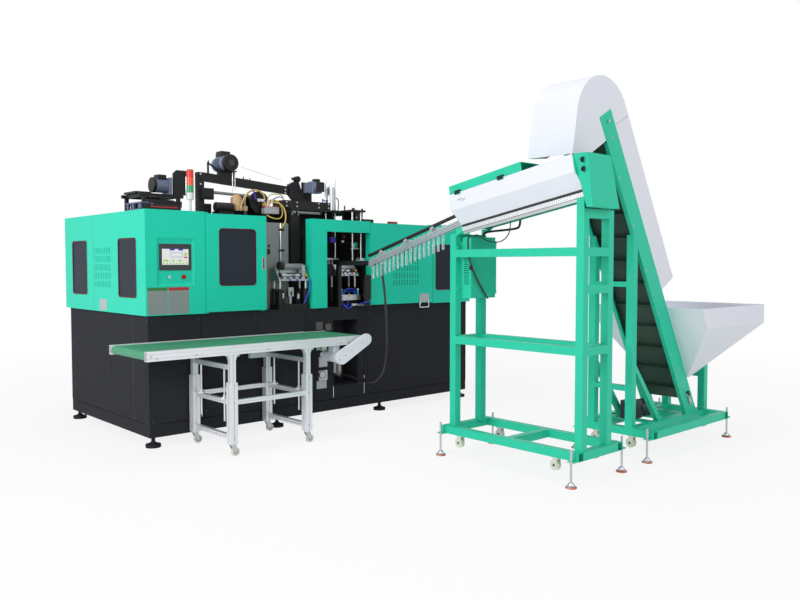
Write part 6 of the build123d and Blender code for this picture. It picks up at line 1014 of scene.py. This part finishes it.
sleeve_bolts = [(x, DECK_FRONT - 1.0, z) for x in LEG_X for z in (150, 425, 560)]
heads("sleeve_bolts", sleeve_bolts, "Y", 6.0, 4.0, zinc)
key_blocks = [((-329, -22, 700), (-322, -15, 806)), ((-329.6, -25, 684), (-317, -13, 702))]
blocks("belt_tension_key", key_blocks, station_black, "conveyor_deck", soft=1.5)
cover_screws = [(1425 + 34 * i, DECK_FRONT - 27.0, 700 + 18 * i) for i in (-0.9, 0.9, 3.0, 6.4)]
heads("drive_cover_screws", cover_screws, "Y", 6.0, 3.0, zinc, "conveyor_deck")

# The conveyor's casters have a cream tyre on a grey hub. The hub's moulded cap stands a little out of each
# side of the wheel.
CASTER_RADIUS = 34.0
CASTER_TRAIL = 24.0
hub_grey = finish("hub_grey", (0.20, 0.20, 0.21), 0.45)
caster_axes = [(x, y) for y in (DECK_FRONT + 32.5, DECK_BACK - 32.5) for x in LEG_X]
for i, (x, y) in enumerate(caster_axes, start=1):
    wheel_x = x + CASTER_TRAIL
    caps = [((wheel_x, y + side * 12.0, CASTER_RADIUS), (wheel_x, y + side * 12.8, CASTER_RADIUS), 19)
            for side in (-1, 1)]
    bars(f"caster_hub_{i}", caps, hub_grey, f"caster_wheel_{i}", sides=28, soft=0)

# The loader's trough has two black hinge blocks along its top edge, a bright turn latch near the lower end, a
# rubber seal and a perforated trim strip under its lid. Everything here is laid out level and then tilted.
TROUGH_PIVOT = (-1876.0, 1758.0)
TROUGH_SLOPE = 10.1


def tilted(x, y, z):
    """Place on the plan of a point given in the trough's own level frame."""
    turn = radians(-TROUGH_SLOPE)
    return (x, TROUGH_PIVOT[0] + y * cos(turn) - z * sin(turn),
            TROUGH_PIVOT[1] + y * sin(turn) + z * cos(turn))


def tilted_spot(x, y, z):
    """The same place as a point of the row frame."""
    return spot(*tilted(x, y, z))


TROUGH_FACE = 1612.0
TROUGH_TOE = 1700.0
hinge_covers = [((TROUGH_FACE - 11.5, y - 29, 272), (TROUGH_FACE + 14, y + 29, 300)) for y in (-90, -520)]
blocks("lid_hinge_covers", hinge_covers, station_black, soft=2.5, place=tilted_spot)
latch_y, latch_z = -130.0, 222.0
latch_face = TROUGH_FACE - 21.0
blocks("lid_latch", [((latch_face - 5, latch_y - 34, latch_z - 5), (latch_face, latch_y + 34, latch_z + 5))],
       ground_steel, "unscrambler_lid", soft=2, place=tilted_spot)
bars("lid_latch_ring", [(tilted(TROUGH_FACE - 3.6, latch_y, latch_z),
                         tilted(TROUGH_FACE - 1.0, latch_y, latch_z), 25)], profile_silver,
     "unscrambler_lid", sides=36)
TROUGH_RUN = (-1138.0, -14.0)
blocks("lid_seal", [((TROUGH_TOE - 5, TROUGH_RUN[0], 33), (TROUGH_TOE, TROUGH_RUN[1], 51))], black_rubber,
       soft=1, place=tilted_spot)
strip_face = TROUGH_TOE - 9.0
trim_strip = [((strip_face, TROUGH_RUN[0], 1), (TROUGH_TOE, TROUGH_RUN[1], 31))]
blocks("trough_trim_strip", trim_strip, profile_silver, soft=1, place=tilted_spot)
blocks("trough_lower_rail", [((TROUGH_TOE + 4, TROUGH_RUN[0], -20), (TROUGH_TOE + 18, TROUGH_RUN[1], -4)),
                             ((TROUGH_TOE + 4, TROUGH_RUN[0], -4), (TROUGH_TOE + 8, TROUGH_RUN[1], 28))],
       zinc, place=tilted_spot)
HOLE_STEP = 18.0
hole_count = int((TROUGH_RUN[1] - TROUGH_RUN[0]) / HOLE_STEP)
trim_holes = [tilted(strip_face, TROUGH_RUN[0] + HOLE_STEP * (i + 0.5), level) for i in range(hole_count)
              for level in (10, 22)]
heads("trough_trim_holes", trim_holes, "X", 3.0, 0.8, screw_dark)

# The drive housing has two knobs on its sloping face, one above the other. Each is a moulded black plastic
# cap pressed over its stud.
knob_black = finish("knob_black", (0.012, 0.012, 0.013), 0.4, gloss=0.15)
HOUSING_Z = (1884.0, 2236.0)
HOUSING_X = 1612.0
HOUSING_LEAN = 68.0
KNOB_Y = -3034.6
knobs = []
for drop in (46.0, 106.0):
    z = HOUSING_Z[1] - drop
    x = HOUSING_X + drop / (HOUSING_Z[1] - HOUSING_Z[0]) * HOUSING_LEAN
    knobs.append(((x - 16, KNOB_Y, z), (x + 2, KNOB_Y, z), 18))
bars("housing_knobs", knobs, knob_black, sides=28, soft=3)

# The conduit along the rail is black corrugated tube, ribbed all the way and held in white moulded clips. The
# control cabinet beside it has a dark steel lock on its door.
CONDUIT_RADIUS = 13.6
RIB_RADIUS = 15.0
conduit_low = (1900.0, -559.0, 1596.7)
conduit_high = (1900.0, -1810.0, 1955.6)
bars("rail_conduit", [(conduit_low, conduit_high, CONDUIT_RADIUS)], black_rubber, soft=0)
ribs("rail_conduit_ribs", conduit_low, conduit_high, RIB_RADIUS, 4.0, 8.0, black_rubber)
bars("rail_conduit_end", [((1900, -560, 1597), (1900, -520, 1588), 16)], station_black, soft=2)
RAIL_CLIPS = ((-703.0, 1625.0), (-1030.0, 1719.0), (-1357.0, 1813.0), (-1684.0, 1906.0))
clip_posts = [((1886, y - 9, z - 34), (1914, y + 9, z + 16)) for y, z in RAIL_CLIPS]
blocks("rail_conduit_clips", clip_posts, fitting_white, soft=2.5)
blocks("cabinet_lock", [((1734, -1930, 1460), (1758, -1922, 1500))], screw_dark, "cabinet_door", soft=2)

# The stands' levelling feet have a cast base in rust-red primer under a bright turned cone, both screwed on
# the rod above them. The machine's own feet are black.
FOOT_X = (1611.0, 2229.0, 2601.0, 3919.0)
FOOT_ROWS = {1611.0: (-2970.0, -1740.0), 2229.0: (-2970.0, -1740.0), 2601.0: (-2960.0, -2320.0),
             3919.0: (-2960.0, -2320.0)}
foot_red = finish("foot_red", (0.62, 0.115, 0.045), 0.55, speckle=500.0)
feet = []
cones = bmesh.new()
for x in FOOT_X:
    for y in FOOT_ROWS[x]:
        feet.append(((x, y, 0.0), (x, y, 10.0), 39))
        cone_place = Matrix.Translation(spot(x, y, 27.0))
        bmesh.ops.create_cone(cones, cap_ends=True, segments=28, radius1=33 * MM, radius2=13 * MM,
                              depth=24 * MM, matrix=cone_place)
for face in cones.faces:
    face.smooth = len(face.verts) == 4
bars("stand_foot_bases", feet, foot_red, sides=28, soft=1.5)
add_piece("stand_foot_cones", cones, ground_steel)

# Each foot's rod goes through a green bracket welded to the frame. The stands' casters beside them have zinc
# forks and axle nuts round their cream wheels.
foot_plates = []
for x, side in zip(FOOT_X, (-1, 1, -1, 1)):
    edge = x - side * 42.0
    left, right = min(edge, x + side * 14.6), max(edge, x + side * 14.6)
    foot_plates += [((left, y - 24.6, 171.4), (right, y + 24.6, 182.6)) for y in FOOT_ROWS[x]]
blocks("foot_brackets", foot_plates, frame_green, soft=1)
stand_caster_places = [(x, y) for x in (1683.0, 2157.0) for y in (-2810.0, -1900.0)]
stand_caster_places += [(x, y) for x in (2673.0, 3847.0) for y in (-2800.0, -2480.0)]
fork_sheets = []
axle_nuts = []
for x, y in stand_caster_places:
    fork_sheets.append(((x - 34.6, y - 30.6, 165.4), (x + 34.6, y + 30.6, 171.8)))
    for side in (-1, 1):
        near, far = sorted((x + side * 18.6, x + side * 20.2))
        fork_sheets.append(((near, y - 6.6, 105.4), (far, y + 30.6, 166.0)))
        axle_nuts.append(((x + side * 20.2, y + 20, 114), (x + side * 26.0, y + 20, 114), 9))
blocks("stand_caster_forks", fork_sheets, zinc)
bars("stand_caster_axles", axle_nuts, screw_dark, sides=6, soft=0)

# The elevator's side plates are bolted along their flanges, and the hood meets them at a sealed seam. Screws
# in square blocks at the casing's foot keep its belt tight.
CASING_ANGLE = 60.1
CASING_TOE = (3503.0, 232.0)
CASING_FACE = -2801.0
TENSION_Y = -2808.0


def casing_place(along, out, y):
    """Place on the plan of a point up the casing's slope and out from its underside."""
    turn = radians(CASING_ANGLE)
    return (CASING_TOE[0] - along * cos(turn) + out * sin(turn), y,
            CASING_TOE[1] + along * sin(turn) + out * cos(turn))


casing_bolts = [casing_place(s, 80.0, CASING_FACE) for s in (250, 420, 2500)]
casing_bolts += [casing_place(s, 22.0, CASING_FACE) for s in (600, 1000, 1400, 1800, 2200)]
heads("casing_bolts", casing_bolts, "Y", 8.0, 5.0, zinc)
tension_screws = [(casing_place(30, 96, -2807), casing_place(150, 96, -2807), 6),
                  (casing_place(44, 96, TENSION_Y), casing_place(104, 96, TENSION_Y), 14)]
bars("belt_tension_screws", tension_screws, machined_silver)
bars("belt_tension_blocks", [(casing_place(132, 98, TENSION_Y), casing_place(164, 98, TENSION_Y), 17)],
     screw_dark, sides=8)
hood_side = (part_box("hood")[0].y - DATUM.y) / MM
seam_grey = finish("seam_grey", (0.40, 0.41, 0.44), 0.5)
bars("hood_seam", [((2381, hood_side, 2542), (2536, hood_side, 2622), 2)], seam_grey, soft=0)

# The preform rail's two flat bars are drawn steel. Each has a pair of dark milled lines along its outer face,
# for the whole length of the rail.
rail_foot = (-560.0, 1519.5)
rail_head = (-1840.0, 1886.7)
rail_lines = [((x, rail_foot[0], rail_foot[1] + rise), (x, rail_head[0], rail_head[1] + rise), 1.6)
              for x in (1878.0, 1922.0) for rise in (-9.0, 9.0)]
bars("rail_lines", rail_lines, screw_dark, sides=8, soft=0)

# The preforms are clear test-tube shapes of moulded plastic with a thick neck ring. They hang by the ring
# between the rail's bars.
clear_plastic = bpy.data.materials.new("clear_plastic")
clear_plastic.use_nodes = True
clear_surface = clear_plastic.node_tree.nodes["Principled BSDF"]
clear_surface.inputs["Base Color"].default_value = (0.86, 0.94, 0.96, 1.0)
clear_surface.inputs["Roughness"].default_value = 0.08
clear_surface.inputs["Transmission Weight"].default_value = 0.85
clear_surface.inputs["IOR"].default_value = 1.15
dress(clear_plastic, "clear_preform", "preforms")

# The supply hose and the loader's cable are sheathed in black rubber, and the air hose is yellow plastic.
# Each one runs between two glands, so both of its ends are fixed.
HOSE_RADIUS = 11.0
HOSE_POINTS = (
    (1950, -640, 1506), (1950, -640, 1440), (1956, -660, 1330), (1962, -672, 1200),
    (1970, -676, 1060), (1979, -672, 920), (1990, -660, 780), (2003, -634, 650),
    (2018, -586, 530), (2034, -508, 440), (2049, -404, 388), (2063, -284, 372),
    (2074, -164, 376), (2081, -50, 388), (2083, 60, 396), (2083, 150, 396),
)
CABLE_RADIUS = 9.0
CABLE_POINTS = (
    (1960, -1865, 1720), (1960, -1865, 1752), (1966, -1896, 1762), (1976, -1970, 1768),
    (1984, -2060, 1772), (1988, -2160, 1778), (1988, -2215, 1790), (1988, -2215, 1842),
)
AIR_HOSE_RADIUS = 8.0
AIR_HOSE_POINTS = (
    (1120, 360, 2050), (1120, 360, 2110), (1138, 350, 2165), (1176, 338, 2198),
    (1232, 330, 2206), (1286, 326, 2188), (1318, 322, 2145), (1318, 322, 2092),
)
hose_yellow = finish("hose_yellow", (0.58, 0.42, 0.10), 0.4)


def hose(name, points, radius, material):
    """Round hose along its route, as a curve with a round section."""
    curve = bpy.data.curves.new(name, "CURVE")
    curve.dimensions = "3D"
    curve.resolution_u = 10
    curve.bevel_depth = radius * MM
    curve.bevel_resolution = 4
    curve.use_fill_caps = True
    line = curve.splines.new("NURBS")
    line.points.add(len(points) - 1)
    for point, place in zip(line.points, points):
        point.co = (*spot(*place), 1)
    line.order_u = 3
    line.use_endpoint_u = True
    curve.materials.append(material)
    piece = bpy.data.objects.new(name, curve)
    bpy.context.scene.collection.objects.link(piece)
    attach(piece, "machine")
    return piece


supply_hose = hose("supply_hose_run", HOSE_POINTS, HOSE_RADIUS, black_rubber)
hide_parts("supply_hose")
loader_cable = hose("loader_cable_run", CABLE_POINTS, CABLE_RADIUS, black_rubber)
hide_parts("loader_cable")
air_hose = hose("air_hose_run", AIR_HOSE_POINTS, AIR_HOSE_RADIUS, hose_yellow)
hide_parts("air_hose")

# Thin air hoses and cables loop over the bed and in the two bays: yellow and purple ones between the terminal
# box and the wheel, blue ones at the fittings, and black ones at the loader. Both ends of each are fixed.
hose_purple = finish("hose_purple", (0.09, 0.015, 0.42), 0.4)
hose_blue = finish("hose_blue", (0.010, 0.060, 0.62), 0.35)
hose_cream = finish("hose_cream", (0.72, 0.55, 0.30), 0.4)
blocks("hose_joints", [((1222, 288, 2096), (1292, 312, 2122)), ((2116, -6, 1096), (2178, 16, 1116))],
       fitting_white, soft=3)
bars("hose_manifold", [((1338, 300, STATION_TOP), (1338, 300, 2116), 13)], hose_cream)
LOOSE_HOSES = (
    ("yellow_loop_left", hose_cream, 6.0, (
        (1040, 304, 2004), (1040, 294, 2030), (1060, 296, 2090), (1095, 300, 2150),
        (1130, 300, 2188), (1160, 300, 2194))),
    ("purple_loop", hose_purple, 6.0, (
        (1160, 300, 2194), (1184, 300, 2192), (1196, 300, 2160), (1200, 300, 2120),
        (1208, 300, 2109), (1240, 300, 2109), (1327, 300, 2109))),
    ("yellow_loop_low", hose_yellow, 7.0, (
        (1350, 300, 2110), (1388, 292, 2124), (1448, 282, 2104), (1486, 272, 2030),
        (1476, 268, 1962), (1430, 266, 1936), (1366, 268, 1944), (1330, 290, 1964),
        (1322, 310, 1986))),
    ("yellow_loop_front", hose_yellow, 7.0, (
        (1350, 300, 2086), (1400, 270, 2104), (1462, 240, 2070), (1484, 222, 2004),
        (1470, 200, 1940), (1440, 168, 1896), (1404, 156, 1872), (1388, 160, 1842))),
    ("cream_upper", hose_cream, 6.0, (
        (1338, 300, 2116), (1344, 300, 2164), (1400, 296, 2176), (1470, 290, 2180),
        (1506, 290, 2156), (1508, 290, 2121))),
    ("blue_upper", hose_blue, 5.0, (
        (1356, 312, 2057), (1362, 312, 2106), (1430, 312, 2142), (1486, 316, 2158),
        (1524, 320, 2146), (1526, 320, 2121))),
    ("blue_cylinder_feed", hose_blue, 6.0, (
        (2040, 330, 2144), (2012, 330, 2150), (1990, 318, 2164), (1980, 300, 2150),
        (1980, 296, 2121))),
    ("black_cylinder_return", black_rubber, 5.0, (
        (2160, 330, 2184), (2190, 330, 2188), (2208, 330, 2140), (2204, 330, 2090),
        (2196, 330, 2050))),
    ("bottle_bay_air", hose_blue, 6.0, (
        (1598, -8, 1362), (1600, -12, 1330), (1596, -12, 1290), (1572, -10, 1226),
        (1550, -4, 1176), (1538, 8, 1136), (1536, 22, 1112))),
    ("feed_loop_upper", hose_blue, 5.0, (
        (2034, 40, 1206), (2036, 38, 1236), (2064, 34, 1262), (2116, 32, 1266),
        (2170, 34, 1256), (2184, 40, 1232), (2184, 42, 1206))),
    ("feed_loop_cross", hose_blue, 5.0, (
        (2190, 54, 1206), (2188, 54, 1226), (2150, 54, 1238), (2090, 54, 1240),
        (2036, 54, 1226), (2034, 54, 1206))),
    ("feed_hose_left", hose_blue, 6.0, (
        (2020, 40, 1150), (2020, 30, 1120), (2030, 4, 1092), (2060, -12, 1070),
        (2096, -10, 1084), (2104, 2, 1104), (2116, 5, 1106))),
    ("feed_hose_middle", hose_blue, 6.0, (
        (1996, 60, 1108), (2000, 50, 1104), (2020, 20, 1100), (2056, 2, 1100),
        (2080, 14, 1108), (2092, 32, 1128), (2094, 40, 1150))),
    ("feed_cable_right", hose_blue, 5.0, (
        (2178, 5, 1106), (2190, -10, 1110), (2206, -40, 1118), (2232, -60, 1128),
        (2310, -60, 1140), (2316, -30, 1130), (2312, -10, 1112), (2308, -6, 1104))),
    ("cabinet_cable", black_rubber, 7.0, (
        (1780, -1890, 1728), (1744, -1912, 1730), (1710, -1930, 1700), (1704, -1936, 1640),
        (1714, -1936, 1556), (1764, -1936, 1452), (1856, -1936, 1326), (1936, -1936, 1236))),
    ("trough_droop_cable", black_rubber, 4.0, (
        (1724, -2340, 1862), (1724, -2340, 1800), (1740, -2310, 1720), (1780, -2210, 1676),
        (1830, -2090, 1672), (1850, -1990, 1690), (1856, -1900, 1740), (1856, -1866, 1736),
        (1856, -1860, 1720))),
)
for name, material, radius, points in LOOSE_HOSES:
    loose = hose(name, points, radius, material)
